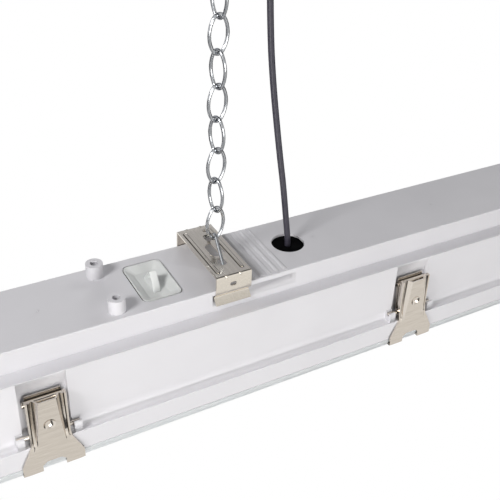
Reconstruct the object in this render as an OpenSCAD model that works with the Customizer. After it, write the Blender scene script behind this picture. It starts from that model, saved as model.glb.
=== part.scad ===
// Linear damp-proof light that hangs from two chains. +X runs along the light, +Z is up.
// The origin is on the ceiling, midway between the two chain hooks.

/* [Housing] */
// Overall length of the housing
body_l = 680; // [640:5:900]
// Width of the flat top
top_w = 60; // [56:1:66]
// Width over the large side faces
side_w = 81.8; // [78:0.2:86]
// Width over the bottom rim
rim_w = 96.2; // [94:0.2:102]
// Depth from the flat top to the upper ledge
ledge1_z = 16.6; // [15:0.2:20]
// Depth from the flat top to the lower ledge
ledge2_z = 63.6; // [62:0.2:80]
// Depth from the flat top to the bottom of the rim
rim_z = 79; // [78:0.5:100]
// Wall thickness of the housing
wall = 2.4; // [2:0.1:2.8]
// Size of the chamfer on the outer edges
edge_cut = 0.8; // [0.4:0.1:1]

/* [Side grooves for the brackets] */
// Thickness of the lip over the groove
lip_h = 3.3; // [3:0.1:4]
// Depth from the flat top to the floor of the groove
groove_floor_z = 12; // [11:0.1:13]
// How far the groove goes into the side
groove_d = 9; // [6:0.5:10]
// Length of one groove
groove_l = 64.5; // [60:0.5:66]

/* [Top features] */
// Number of grip ribs beside each bracket
rib_count = 5; // [3:1:6]
// Distance between two grip ribs
rib_pitch = 6.2; // [5:0.1:6.4]
// Place of the first grip rib along the light
rib_x = -130.2; // [-132:0.1:-129]
// Height of a grip rib
rib_h = 0.9; // [0.5:0.1:1.2]
// Place of the left pair of hollow posts along the light
boss_x = -224; // [-226:1:-222]
// Distance between the two pairs of posts
boss_span = 488; // [486:1:492]
// Distance between the two posts of a pair
boss_pitch = 41; // [38:0.5:42]
// Outer radius of a post
boss_r = 5.7; // [5:0.1:6.5]
// Height of a post
boss_h = 10; // [8:0.5:14]
// Radius of the screw hole in a post
boss_hole_r = 2.6; // [2:0.1:3]
// Depth of the screw hole in a post
boss_hole_depth = 16; // [12:1:18]
// Radius of the cable hole
cable_hole_r = 12; // [10:0.5:13]
// Place of the cable hole along the light
cable_hole_x = -87; // [-90:1:-80]

/* [Access plug] */
// Place of the plug along the light
plug_x = -192; // [-193:0.5:-191]
// Length of the plug along the light
plug_l = 28.4; // [26:0.2:30]
// Width of the plug across the light
plug_w = 43.4; // [40:0.2:46]
// Corner radius of the plug
plug_r = 5; // [4:0.5:6]
// Depth of the dish in the plug
dish_d = 3.6; // [3:0.1:4]
// Height of the plug's pull tab over the flat top
tab_h = 7.9; // [5:0.1:9]
// Length of the pull tab at its foot
tab_l = 18.4; // [14:0.2:20]
// Thickness of the pull tab
tab_t = 4.8; // [4:0.1:5.4]
// How far the plug lifts out
plug_lift = 30; // [20:1:60]

/* [Latches] */
// Distance of the outer latches from the ends of the housing
latch_end = 60; // [56:1:66]
// Width of the side recess behind a latch
recess_w = 30.4; // [30:0.2:34]
// Depth of the side recess
recess_d = 4.4; // [4:0.1:4.6]
// Radius of the fixed axle
axle_r = 1.5; // [1.2:0.1:1.8]
// Length of the fixed axle
axle_l = 39.2; // [38.4:0.2:40]
// Radius of the pivot rivet
rivet_r = 1.25; // [1:0.05:1.4]
// Thickness of the lever's sheet
lever_t = 1; // [0.8:0.1:1.1]
// Width of the lever at its top
lever_w = 25; // [24:0.2:26]
// Width of the lever over its feet
lever_foot_w = 39; // [36:0.5:40]
// Width of the arch between the feet
lever_arch_w = 14; // [12:0.5:16]
// Running clearance of the latch pivots
pivot_run = 0.05; // [0.03:0.01:0.08]

/* [Brackets] */
// Distance between the two brackets
hook_pitch = 334; // [328:1:342]
// Place of the left bracket in its groove
bracket_x = -147; // [-148:0.5:-130]
// How far the wire hook sits off the bracket's middle
hook_dx = 1.2; // [0:0.1:2]
// Width of a bracket along the light
bracket_w = 26; // [24:0.5:28]
// Thickness of the bracket's sheet
bracket_t = 1; // [0.8:0.1:1.2]
// Height of the bracket's top face over the housing
bracket_h = 11; // [10:0.5:13]
// Space between the bracket's side and the housing
bracket_gap = 0.5; // [0.3:0.1:0.8]
// Width of the hole in the middle of the bracket
eye_w = 10.4; // [9:0.2:10.4]
// Length of the hole in the middle of the bracket
eye_l = 17.4; // [16:0.2:18]
// Width of the strip that crosses the hole
strip_w = 3; // [2:0.2:3.4]

/* [Chain] */
// Number of links in each chain
links = 8; // [4:1:16]
// Thickness of the link wire
link_wire = 2.2; // [2:0.1:2.6]
// Clear length inside a link
link_in = 21.7; // [20:0.1:26]
// Clear width inside a link
link_in_w = 11.6; // [10:0.2:13]
// How far the chain is turned from the light's axis
chain_twist = 12; // [-20:1:20]
// Thickness of the wire hook on a bracket
vhook_wire = 2.4; // [2:0.1:2.6]
// Height of the wire hook's peak over the housing
vhook_peak = 22.6; // [21:0.2:26]
// Slope of the wire hook's legs
vhook_slope = 39; // [37.5:0.5:40]
// How far the wire hook is turned from the bracket's line
vhook_turn = -7.5; // [-9:0.5:0]

/* [Ceiling fittings] */
// Radius of a ceiling plate
plate_r = 17; // [16:0.5:22]
// Thickness of a ceiling plate
plate_t = 3; // [2:0.5:4]
// Radius of the screw holes in a ceiling plate
plate_hole_r = 2.3; // [2:0.1:2.6]
// Distance between the two screw holes of a plate
plate_hole_pitch = 20; // [19:0.5:24]
// Radius of the hook's wire
hook_wire_r = 2; // [1.6:0.1:2.2]
// Radius of the hook's bend, on the wire's middle
hook_bend_r = 6; // [5:0.2:7]
// Height of the ceiling over the bottom of the hook
hook_h = 33; // [26:1:50]
// Radius of the cable outlet's plate
outlet_r = 27; // [26:0.5:34]
// Height of the cable outlet's dome, with its plate
outlet_h = 12; // [10:0.5:14]
// Bore radius of the cable outlet
outlet_bore_r = 5; // [4:0.5:8]

/* [Diffuser] */
// Thickness of the diffuser's flange
flange_t = 3.2; // [2.8:0.1:3.4]
// Depth of the bowl under the flange
bowl_d = 20; // [14:1:30]
// Width of the bowl at the flange
bowl_w = 76; // [70:1:80]
// Thickness of the diffuser's wall
diffuser_t = 2; // [1.6:0.1:2.4]

/* [Gear inside] */
// Space between each end of the gear tray and the housing
tray_end_gap = 25.4; // [20:0.2:30]
// Width of the gear tray
tray_w = 64; // [60:1:66]
// Depth from the flat top to the tray's upper face
tray_z = 60; // [58:0.5:61]
// Length of one row of light sources
board_l = 286; // [280:1:288]
// Width of a light source board
board_w = 24; // [20:1:30]
// Light sources in one row of a board
led_count = 14; // [8:1:16]
// Length of the driver
driver_l = 230; // [200:5:240]
// Width of the driver
driver_w = 30; // [26:1:32]
// Height of the driver
driver_h = 21; // [18:1:24]
// Place of the driver along the light
driver_x = 140; // [136:1:144]
// Distance of the tray screws from the ends of the tray
screw_inset = 10; // [8:0.5:12]
// Distance of the tray screws from the light's middle line
screw_y = 18; // [16:0.5:20]
// Length of a tray screw over the tray
screw_l = 14; // [12:0.5:18]

/* [Hidden] */
$fn = 48;
eps = 0.01;
seat_gap = 0.3;
joint_run = 0.1;
plug_gap = 0.35;
plug_h = dish_d + 1.6;
seal_t = 0.6;
plug_seat_z = plug_h + 2 * seat_gap + seal_t;
weld = 0.03;
latch_pitch = body_l / 2 - latch_end;
latch_xs = [-latch_pitch, 0, latch_pitch];
boss_xs = [boss_x, boss_x + boss_span];
pip_xs = [-268.5, -65.6, 44.9];
corner_top_r = 6;
corner_side_r = 10;
corner_rim_r = 14;
top_l = body_l - (rim_w - top_w);
side_l = body_l - (rim_w - side_w);
cavity_w = side_w - 2 * wall;
channel_w = rim_w - 2 * wall;
inner_wall_z = rim_z - 3;
tray_l = side_l - 2 * wall - 2 * tray_end_gap;
screw_xs = [-tray_l / 2 + screw_inset, 0, tray_l / 2 - screw_inset];
end_hole_r = 10.2;
end_plug_z = 40;

// Latch geometry: places are given across the light and down from the flat top.
axle_y = (side_w / 2 + rim_w / 2) / 2 - 0.7;
axle_z = ledge2_z - 5.4;
pivot_y = side_w / 2 - 0.3;
pivot_z = axle_z - 23.7;
lever_y = rim_w / 2 - 0.1;
lever_top_z = pivot_z - 6.5;
lever_foot_y = rim_w / 2 + 2.4;
lever_bottom_z = rim_z + 0.3 + flange_t + 0.4 + lever_t;
lug_w = 4.8;
lug_x = recess_w / 2 + 0.3;
finger_r = 25.8;
finger_z = ledge1_z + 14.4;

// Bracket and chain geometry, with heights over the flat top.
bracket_in_y = top_w / 2 + bracket_gap;
bracket_out_y = bracket_in_y + bracket_t;
groove_start_x = -162;
groove_xs = [groove_start_x, groove_start_x + hook_pitch];
bend_r = 3.6;
bend_z = vhook_peak - bend_r;
leg_top_z = bend_z + bend_r * cos(vhook_slope);
leg_y = bend_r * sin(vhook_slope) + (leg_top_z - bracket_h) / tan(vhook_slope);
foot_z = bracket_h - bracket_t - vhook_wire / 2 - joint_run;
foot_y = leg_y + (bracket_h - foot_z) / tan(vhook_slope);
leg_slot_r = 2.6;
leg_slot_l = 8.4;
leg_slot_dx = leg_y * sin(vhook_turn);
link_half_l = (link_in + link_wire) / 2;
link_half_w = (link_in_w + link_wire) / 2;
link_pitch = link_in - joint_run;
link0_z = vhook_peak - (vhook_wire + link_wire) / 2 - joint_run / 2 + link_half_l;
top_link_z = link0_z + (links - 1) * link_pitch;
hook_z = top_link_z + link_half_l - link_wire / 2 - hook_wire_r - joint_run / 2;
drop = hook_z + hook_h;
lum_x = -hook_pitch / 2 - bracket_x - hook_dx;

// The supply cable's points: along the light, across it and height over the flat top.
cable_w = 4.6;
cable_h = 3.2;
outlet_x = -103;
outlet_y = 17;
cable_points = [
  [-87, 0, -38], [-87, 0, -20], [-87, 0, -4], [-87.6, 0.4, 6], [-89, 1.6, 20], [-91.5, 4, 45],
  [-94, 7, 68], [-96.2, 9.8, 90], [-98.6, 12.6, 115], [-100.6, 14.8, 140], [-102, 16.2, 165],
  [-102.8, 16.9, 184], [-103, 17, 194]
];

// Moves from the housing's own frame, with its flat top at zero, to the ceiling's frame.
module at_light() {
  translate([lum_x, 0, -drop]) children();
}

// Places a part at one latch. Latches 1 to 3 are on the front side, 4 to 6 on the back.
module at_latch(number) {
  back = number > 3;
  at_light() translate([latch_xs[(number - 1) % 3], 0, 0]) mirror([0, back ? 0 : 1, 0]) children();
}

module rounded_square(l, w, r) {
  square([l - 2 * r, w], center = true);
  square([l, w - 2 * r], center = true);
  for (sx = [-1, 1], sy = [-1, 1]) translate([sx * (l / 2 - r), sy * (w / 2 - r)]) circle(r);
}

// A block with rounded upright corners between two depths under the flat top.
module slab(l, w, r, z_from, z_to) {
  translate([0, 0, -z_to]) linear_extrude(z_to - z_from) rounded_square(l, w, r);
}

module along_x(l) {
  rotate([90, 0, 90]) translate([0, 0, -l / 2]) linear_extrude(l) children();
}

// The space behind one latch: a rounded finger scoop over a straight pocket.
module recess_space(grow) {
  w = recess_w + 2 * grow;
  y_in = side_w / 2 - recess_d - grow;
  translate([-w / 2, y_in, -ledge2_z + eps]) cube([w, 20, ledge2_z - finger_z]);
  intersection() {
    translate([-w / 2, y_in - 1, -finger_z - 0.5]) cube([w, 20, finger_z - ledge1_z + 0.5 + grow]);
    translate([-w / 2, side_w / 2 - recess_d + finger_r + 0.1, -finger_z]) rotate([0, 90, 0])
      cylinder(w, finger_r + grow, finger_r + grow);
  }
}

// Two open-topped cradles on the lower ledge hold the fixed axle.
module axle_cradles() {
  seat_r = axle_r + pivot_run;
  for (s = [-1, 1]) translate([s * (lug_x + lug_w / 2), 0, 0]) difference() {
    translate([-lug_w / 2, side_w / 2 - 1, -ledge2_z - 0.5])
      cube([lug_w, rim_w / 2 - side_w / 2 + 0.3, ledge2_z - axle_z + 2.6]);
    translate([-lug_w, axle_y, -axle_z]) rotate([0, 90, 0]) cylinder(2 * lug_w, seat_r, seat_r);
    translate([-lug_w, axle_y - seat_r, -axle_z]) cube([2 * lug_w, 2 * seat_r, 10]);
  }
}

module groove(x_start) {
  for (s = [0, 1]) mirror([0, s, 0]) {
    translate([x_start, top_w / 2 - groove_d, -groove_floor_z])
      cube([groove_l, groove_d + 1, groove_floor_z - lip_h]);
  }
}

module grip_ribs(x_first) {
  for (i = [0 : rib_count - 1]) translate([x_first + i * rib_pitch, 0, rib_h - 2])
    rotate([90, 0, 0]) cylinder(h = top_w - 3, r = 2, center = true);
}

module screw_posts(r, z_from, z_to) {
  for (x = screw_xs, y = [-screw_y, screw_y]) translate([x, y, -z_to]) cylinder(z_to - z_from, r, r);
}

module housing_shell() {
  difference() {
    union() {
      slab(top_l - 2 * edge_cut, top_w - 2 * edge_cut, corner_top_r - edge_cut, 0, 1);
      slab(top_l, top_w, corner_top_r, edge_cut, ledge1_z + 1);
      slab(side_l - edge_cut, side_w - edge_cut, corner_side_r, ledge1_z, ledge1_z + 1);
      slab(side_l, side_w, corner_side_r, ledge1_z + edge_cut / 2, ledge2_z + 1);
      slab(body_l - edge_cut, rim_w - edge_cut, corner_rim_r, ledge2_z, ledge2_z + 1);
      slab(body_l, rim_w, corner_rim_r, ledge2_z + edge_cut / 2, rim_z);
    }
    for (x = latch_xs, s = [0, 1]) translate([x, 0, 0]) mirror([0, s, 0]) recess_space(0);
    for (x = groove_xs) groove(x);
    difference() {
      union() {
        slab(top_l - 2 * wall, top_w - 2 * wall, corner_top_r - wall, wall, ledge1_z + wall + 1);
        slab(side_l - 2 * wall, cavity_w, corner_side_r - wall, ledge1_z + wall, rim_z + 1);
      }
      for (x = latch_xs, s = [0, 1]) translate([x, 0, 0]) mirror([0, s, 0]) recess_space(wall);
      for (x = groove_xs, s = [0, 1]) mirror([0, s, 0])
        translate([x - wall, top_w / 2 - groove_d - wall, -ledge1_z - wall])
          cube([groove_l + 2 * wall, groove_d + 2 * wall, ledge1_z + wall]);
    }
    difference() {
      slab(body_l - 2 * wall, channel_w, corner_rim_r - wall, ledge2_z + wall, rim_z + 1);
      slab(side_l, side_w, corner_side_r, ledge2_z, rim_z + 2);
    }
    slab(side_l, side_w, corner_side_r, inner_wall_z, rim_z + 2);
  }
}

module housing() {
  color("gainsboro") at_light() difference() {
    union() {
      housing_shell();
      for (s = [0, 1], x = latch_xs) translate([x, 0, 0]) mirror([0, s, 0]) axle_cradles();
      for (x = [rib_x, rib_x + hook_pitch]) grip_ribs(x);
      for (x = boss_xs, y = [-boss_pitch / 2, boss_pitch / 2]) translate([x, y, 0]) {
        translate([0, 0, -1]) cylinder(boss_h + 1, boss_r, boss_r);
        translate([0, 0, boss_h - boss_hole_depth - 2])
          cylinder(boss_hole_depth - boss_h + 1.5, boss_r - 1, boss_r - 1);
      }
      for (x = pip_xs) translate([x, 0, -1]) cylinder(1.4, 1, 1);
      screw_posts(4, 1, tray_z - joint_run);
      translate([plug_x, 0, -plug_seat_z - 1.8]) linear_extrude(plug_h + 2)
        rounded_square(plug_l + 4, plug_w + 4, plug_r + 2);
    }
    for (x = boss_xs, y = [-boss_pitch / 2, boss_pitch / 2]) translate([x, y, boss_h - boss_hole_depth])
      cylinder(boss_hole_depth + 1, boss_hole_r, boss_hole_r);
    translate([cable_hole_x, 0, -6]) cylinder(10, cable_hole_r, cable_hole_r);
    translate([plug_x, 0, -plug_seat_z]) linear_extrude(plug_h + 8)
      rounded_square(plug_l, plug_w, plug_r);
    translate([plug_x, 0, -plug_h - 8]) linear_extrude(12)
      rounded_square(plug_l - 5.4, plug_w - 5.4, plug_r - 2);
    translate([-33, top_w / 2 - 0.7, -0.9]) cube([11.5, 2, 2]);
    screw_posts(1.7, tray_z - screw_l - 2, tray_z + 1);
    for (s = [-1, 1]) translate([s * (side_l / 2 - 6), 0, -end_plug_z]) rotate([0, 90, 0])
      cylinder(h = 14, r = end_hole_r, center = true);
  }
}

// Screwed blanking plugs close the cable entries in both end faces.
module end_plug() {
  translate([side_l / 2, 0, -end_plug_z]) rotate([0, 90, 0]) {
    translate([0, 0, 0.1]) cylinder(2.6, 13, 13);
    translate([0, 0, 2.6]) difference() {
      cylinder(2.4, 11.5, 11.5);
      translate([-15, -1, 1]) cube([30, 2, 4]);
    }
    translate([0, 0, -wall - 5]) difference() {
      cylinder(wall + 5.2, end_hole_r - 0.2, end_hole_r - 0.2);
      translate([0, 0, -1]) cylinder(wall + 5, end_hole_r - 2.2, end_hole_r - 2.2);
    }
  }
}

module end_plugs() {
  color("whitesmoke") at_light() for (s = [0, 1]) mirror([s, 0, 0]) end_plug();
}

// A shallow dish with sloping sides, a pull tab in its middle and a skirt that goes into the housing.
module access_plug() {
  l = plug_l - 2 * plug_gap;
  w = plug_w - 2 * plug_gap;
  r = plug_r - plug_gap;
  color("whitesmoke") at_light() translate([plug_x, 0, 0]) {
    difference() {
      translate([0, 0, -plug_h]) linear_extrude(plug_h) rounded_square(l, w, r);
      hull() {
        translate([0, 0, 0.01]) linear_extrude(0.1)
          rounded_square(l - 1.6, w - 1.6, r - 0.8, $fn = 32);
        translate([0, 0, -dish_d]) linear_extrude(0.1)
          rounded_square(l - 13, w - 13, 2.4, $fn = 32);
      }
    }
    translate([0, 0, -plug_h - 4]) linear_extrude(4.5) difference() {
      rounded_square(l - 6, w - 6, r - 1.6);
      rounded_square(l - 9, w - 9, r - 2.6);
    }
    difference() {
      along_x(tab_t) polygon([
        [-tab_l / 2 - 0.4, -dish_d - 0.2], [-tab_l / 2 - 0.4, -dish_d], [-2, tab_h - 0.6],
        [-1.2, tab_h], [-0.4, tab_h - 0.5], [tab_l / 2 - 0.2, -dish_d], [tab_l / 2 - 0.2, -dish_d - 0.2]
      ]);
      translate([-5, -1.2, tab_h / 2]) rotate([0, 90, 0]) cylinder(10, 0.9, 0.9);
    }
  }
}

module plug_seal() {
  l = plug_l - 2 * plug_gap - 6;
  w = plug_w - 2 * plug_gap - 6;
  color("dimgray") at_light() translate([plug_x, 0, -plug_h - seat_gap - seal_t])
    linear_extrude(seal_t) difference() {
      rounded_square(l + 5.6, w + 5.6, plug_r - 0.6);
      rounded_square(l + 2 * seat_gap, w + 2 * seat_gap, plug_r - 1.7);
    }
}

module cable_grommet() {
  bore_r = cable_w / 2 + seat_gap;
  color("black") at_light() translate([cable_hole_x, 0, 0]) difference() {
    union() {
      translate([0, 0, -wall - 2.4]) cylinder(2.3, cable_hole_r + 3, cable_hole_r + 3);
      translate([0, 0, -wall - 1]) cylinder(wall - 0.6, cable_hole_r - 0.2, cable_hole_r - 0.2);
    }
    translate([0, 0, -20]) cylinder(40, bore_r, bore_r);
  }
}

module rim_gasket() {
  l = body_l - 2 * wall - 2 * seat_gap;
  z = ledge2_z + wall;
  color("dimgray") at_light() difference() {
    slab(l, channel_w - 2 * seat_gap, corner_rim_r - wall, z + seat_gap, z + 5);
    slab(side_l + 2 * seat_gap, side_w + 2 * seat_gap, corner_side_r, ledge2_z, rim_z);
  }
}

// A slab whose ends keep the same distance from its sides as the rim's do.
module rim_slab(w, r, z_from, z_to) {
  slab(body_l - rim_w + w, w, r, z_from, z_to);
}

// The bowl of the diffuser: straight at its flange, then drawn in with a soft bottom edge.
module bowl(w, r, z_from, z_to) {
  hull() {
    rim_slab(w, r, z_from, z_to - bowl_d, $fn = 32);
    rim_slab(w - 6, r, z_to - 5, z_to - 4, $fn = 32);
    rim_slab(w - 18, r - 3, z_to - 1, z_to, $fn = 32);
  }
}

module diffuser() {
  z_top = rim_z + 0.3;
  z_low = z_top + flange_t;
  lip_out = channel_w - 1.8;
  lip_in = lip_out - 4.4;
  color("white", 0.9) at_light() difference() {
    union() {
      rim_slab(rim_w, corner_rim_r, z_top, z_low);
      difference() {
        rim_slab(lip_out, corner_rim_r - 3, ledge2_z + wall + 5.3, z_top + 1);
        rim_slab(lip_in, corner_rim_r - 5, ledge2_z, z_top + 2);
      }
      bowl(bowl_w, 9, z_top + 1, z_low + bowl_d);
    }
    bowl(bowl_w - 2 * diffuser_t, 7, z_top - 1, z_low + bowl_d - diffuser_t);
  }
}

module gear_tray() {
  color("white") at_light() difference() {
    union() {
      slab(tray_l, tray_w, 3, tray_z, tray_z + 1);
      for (s = [-1, 1]) translate([-tray_l / 2 + 4, s * (tray_w / 2 - 0.5) - 0.5, -tray_z - 6])
        cube([tray_l - 8, 1, 6]);
    }
    screw_posts(2.1, tray_z - 1, tray_z + 2);
  }
}

module tray_screws() {
  color("silver") at_light() {
    screw_posts(1.65, tray_z - screw_l, tray_z + 2);
    difference() {
      screw_posts(3.4, tray_z + 1 + joint_run, tray_z + 3.2);
      for (x = screw_xs, y = [-screw_y, screw_y], a = [0, 90])
        translate([x, y, -tray_z - 3.3]) rotate([0, 0, a]) cube([4.4, 0.8, 2], center = true);
    }
  }
}

module driver() {
  foot_l = 10;
  color("whitesmoke") at_light() translate([driver_x, 0, -tray_z]) {
    translate([-driver_l / 2, -driver_w / 2, 0.05]) cube([driver_l, driver_w, driver_h]);
    for (s = [-1, 1]) difference() {
      translate([s * (driver_l / 2 + foot_l / 2 - 0.5) - foot_l / 2, -driver_w / 2, 0.05])
        cube([foot_l, driver_w, 2]);
      translate([s * (driver_l / 2 + 5), 0, -1]) cylinder(5, 2.1, 2.1);
    }
  }
}

module driver_screws() {
  color("silver") at_light() for (s = [-1, 1])
    translate([driver_x + s * (driver_l / 2 + 5), 0, -tray_z + 2.1]) difference() {
      union() {
        cylinder(2, 3.2, 3.2);
        translate([0, 0, -1.9]) cylinder(2, 1.9, 1.9);
      }
      for (a = [0, 90]) rotate([0, 0, a]) translate([0, 0, 2]) cube([4, 0.8, 1.6], center = true);
    }
}

module terminal_block() {
  color("beige") at_light() translate([cable_hole_x - 26, 0, -tray_z + 0.05]) difference() {
    translate([-16, -11, 0]) cube([32, 22, 17]);
    for (i = [-2 : 2]) translate([i * 6, 0, 12]) cylinder(6, 1.9, 1.9);
    for (i = [-2 : 2]) translate([i * 6, 0, 6]) rotate([90, 0, 0]) cylinder(h = 30, r = 1.5, center = true);
  }
}

module led_boards() {
  color("snow") at_light() for (s = [-1, 1])
    translate([s * (board_l / 2 + 5.5) - board_l / 2, -board_w / 2, -tray_z - 1.1 - 1.5])
      cube([board_l, board_w, 1.5]);
}

module leds() {
  step = board_l / led_count;
  color("khaki") at_light() for (s = [-1, 1], row = [-1, 1], i = [0 : led_count - 1])
    translate([s * (5.5 + step * (i + 0.5)) - 1.5, row * 6 - 1.5, -tray_z - 2.6 - 0.8])
      cube([3, 3, 0.75]);
}

module latch_axles() {
  color("silver") for (n = [1 : 6]) at_latch(n) translate([-axle_l / 2, axle_y, -axle_z])
    rotate([0, 90, 0]) cylinder(axle_l, axle_r, axle_r);
}

// The inner plate of a latch turns on the fixed axle and carries the lever's rivet.
module latch_link(number) {
  w = lever_w - 2 * lever_t - 0.6;
  knuckle_r = axle_r + 1.2;
  head_r = rivet_r + 1.1;
  color("lightgray") at_latch(number) difference() {
    union() {
      translate([0, axle_y, -axle_z]) rotate([0, 90, 0])
        cylinder(h = w, r = knuckle_r, center = true);
      translate([0, pivot_y, -pivot_z]) rotate([0, 90, 0])
        cylinder(h = w, r = head_r, center = true);
      along_x(w) polygon([
        [axle_y - knuckle_r, -axle_z], [axle_y - knuckle_r + 1, -axle_z],
        [pivot_y - head_r + 1, -pivot_z], [pivot_y - head_r + 1, -pivot_z + 4.5],
        [pivot_y - head_r, -pivot_z + 4.5], [pivot_y - head_r, -pivot_z]
      ]);
    }
    translate([0, axle_y, -axle_z]) rotate([0, 90, 0])
      cylinder(h = 2 * w, r = axle_r + pivot_run, center = true);
    translate([0, pivot_y, -pivot_z]) rotate([0, 90, 0])
      cylinder(h = 2 * w, r = rivet_r + pivot_run, center = true);
  }
}

// A hollow rivet with a head outside each ear of the lever.
module latch_rivet(number) {
  color("silver") at_latch(number) translate([0, pivot_y, -pivot_z]) rotate([0, 90, 0]) difference() {
    union() {
      cylinder(h = lever_w + 1.4, r = rivet_r, center = true);
      for (s = [-1, 1]) translate([0, 0, s * (lever_w / 2 + joint_run + 0.35)])
        cylinder(h = 0.7, r = rivet_r + 0.75, center = true);
    }
    cylinder(h = 2 * lever_w, r = rivet_r - 0.45, center = true);
  }
}

// Side view of the lever's sheet, from its top edge down to its feet.
module lever_side() {
  t = lever_t;
  knee_z = ledge2_z - 4.1;
  polygon([
    [lever_y - 0.6, -lever_top_z], [lever_y, -lever_top_z - 0.6],
    [lever_y + 0.2, -knee_z], [lever_foot_y, -knee_z - 5],
    [lever_foot_y, -lever_bottom_z], [lever_foot_y - 5.6, -lever_bottom_z],
    [lever_foot_y - 5.6, -lever_bottom_z + t], [lever_foot_y - t, -lever_bottom_z + t],
    [lever_foot_y - t, -knee_z - 5.3], [lever_y + 0.2 - t, -knee_z - 0.3],
    [lever_y - t, -lever_top_z]
  ]);
}

// Front view of the lever's sheet: straight, then flared out to two feet with an arch between them.
module lever_front() {
  flare_z = rim_z - 15.5;
  w = lever_w / 2;
  f = lever_foot_w / 2;
  difference() {
    polygon([
      [-w + 1.5, -lever_top_z], [w - 1.5, -lever_top_z], [w, -lever_top_z - 1.5], [w + 0.6, -flare_z],
      [f, -flare_z - 12], [f, -lever_bottom_z - 1], [-f, -lever_bottom_z - 1], [-f, -flare_z - 12],
      [-w - 0.6, -flare_z], [-w, -lever_top_z - 1.5]
    ]);
    translate([0, -lever_bottom_z - 2]) square([lever_arch_w, 2 * 6.5], center = true);
    translate([0, -lever_bottom_z + 3]) circle(lever_arch_w / 2);
  }
}

module latch_lever(number) {
  color("silver") at_latch(number) difference() {
    union() {
      intersection() {
        along_x(2 * lever_foot_w) lever_side();
        translate([0, rim_w, 0]) rotate([90, 0, 0]) linear_extrude(rim_w) lever_front();
      }
      for (s = [-1, 1]) translate([s * (lever_w - lever_t) / 2, 0, 0]) along_x(lever_t) polygon([
        [lever_y - 0.2, -lever_top_z - 1.4], [lever_y - 0.2, -axle_z - 5], [lever_y - 2, -axle_z - 4],
        [lever_y - 2.1, -axle_z + 5], [lever_y - 4.6, -axle_z + 9], [pivot_y - 1.6, -pivot_z - 3],
        [pivot_y - 2.7, -pivot_z], [pivot_y - 1.6, -pivot_z + 3], [lever_y - 3, -lever_top_z - 2]
      ]);
    }
    translate([0, pivot_y, -pivot_z]) rotate([0, 90, 0])
      cylinder(h = 2 * lever_foot_w, r = rivet_r + pivot_run, center = true);
    translate([0, lever_y + 5, -axle_z + 9]) rotate([90, 0, 0])
      cylinder(h = 20, r = 2.2, center = true);
  }
}

module obround(w, l) {
  square([w, l - w], center = true);
  for (s = [-1, 1]) translate([0, s * (l - w) / 2]) circle(w / 2);
}

// The bracket is one folded sheet. Its sides snap under the lip of the housing's side grooves.
module bracket(side) {
  y = bracket_out_y;
  i = bracket_in_y;
  h = bracket_h;
  t = bracket_t;
  bead_l = top_w - 8;
  color("tan") translate([side * hook_pitch / 2 - hook_dx, 0, -drop]) difference() {
    union() {
      for (s = [0, 1]) mirror([0, s, 0]) along_x(bracket_w) polygon([
        [-1, h], [y, h], [y, -2.5], [y - 3.3, -6.3], [y + 0.9, -10.7], [y + 0.2, -11.4],
        [i - 3.6, -6.4], [i, -2.9], [i, h - t], [-1, h - t]
      ]);
      for (s = [-1, 1]) translate([s * 8.6, 0, h - 1.6]) {
        rotate([90, 0, 0]) cylinder(h = bead_l, r = 2.2, center = true);
        for (e = [-1, 1]) translate([0, e * bead_l / 2, 0]) sphere(2.2);
      }
      for (x = [-5.6, 4.7], s = [-1, 1]) translate([x, s * (y - 0.8), h - 1]) sphere(1.5);
    }
    for (s = [-1, 1]) translate([s * 8.6, 0, h - 1.6]) rotate([90, 0, 0])
      cylinder(h = bead_l - 2, r = 1.3, center = true);
    difference() {
      translate([hook_dx - 0.1, 0, h - 5]) linear_extrude(10) rounded_square(eye_w, eye_l, 5);
      translate([hook_dx + 0.8, -eye_l, h - 6]) cube([strip_w, 2 * eye_l, 12]);
    }
    for (s = [-1, 1]) translate([hook_dx - s * leg_slot_dx, s * (leg_y - 0.6), h - 5])
      linear_extrude(10) obround(2 * leg_slot_r, leg_slot_l);
    translate([5.2, 24.2, h - 5]) cylinder(10, 1.6, 1.6);
    translate([-0.5, 0, 3.7]) rotate([90, 90, 0]) linear_extrude(2 * top_w, center = true) obround(3, 4.8);
  }
}

module rod(a, b, r) {
  d = b - a;
  translate(a) rotate([0, acos(d[2] / norm(d)), atan2(d[1], d[0])]) cylinder(norm(d), r, r);
}

// A peaked wire hook: the chain holds its peak and its two feet lie under the bracket.
module chain_hook(side) {
  r = vhook_wire / 2;
  a = vhook_slope;
  color("silver") translate([side * hook_pitch / 2, 0, -drop]) rotate([0, 0, vhook_turn]) {
    translate([0, 0, bend_z]) rotate([90, 0, 90]) rotate([0, 0, 90 - a])
      rotate_extrude(angle = 2 * a) translate([bend_r, 0]) circle(r);
    for (s = [0, 1]) mirror([0, s, 0]) {
      translate([0, bend_r * sin(a), bend_z + bend_r * cos(a)]) sphere(r + weld);
      rod([0, bend_r * sin(a), bend_z + bend_r * cos(a)], [0, foot_y, foot_z], r);
      translate([0, foot_y, foot_z]) sphere(r + weld);
      rod([0, foot_y, foot_z], [0, foot_y + 4, foot_z], r);
    }
  }
}

// One long link standing upright in the XZ plane.
module link() {
  e = link_half_l - link_half_w;
  rotate([90, 0, 0]) for (s = [0, 1]) rotate([0, 0, 180 * s]) {
    translate([0, e, 0]) rotate_extrude(angle = 180) translate([link_half_w, 0]) circle(link_wire / 2);
    translate([link_half_w, -e, 0]) rotate([-90, 0, 0]) cylinder(2 * e, link_wire / 2, link_wire / 2);
  }
}

module chain(side) {
  color("lightgray") translate([side * hook_pitch / 2, 0, -drop]) for (i = [0 : links - 1])
    translate([0, 0, link0_z + i * link_pitch]) rotate([0, 0, chain_twist + 90 * (i % 2)]) link();
}

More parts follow.
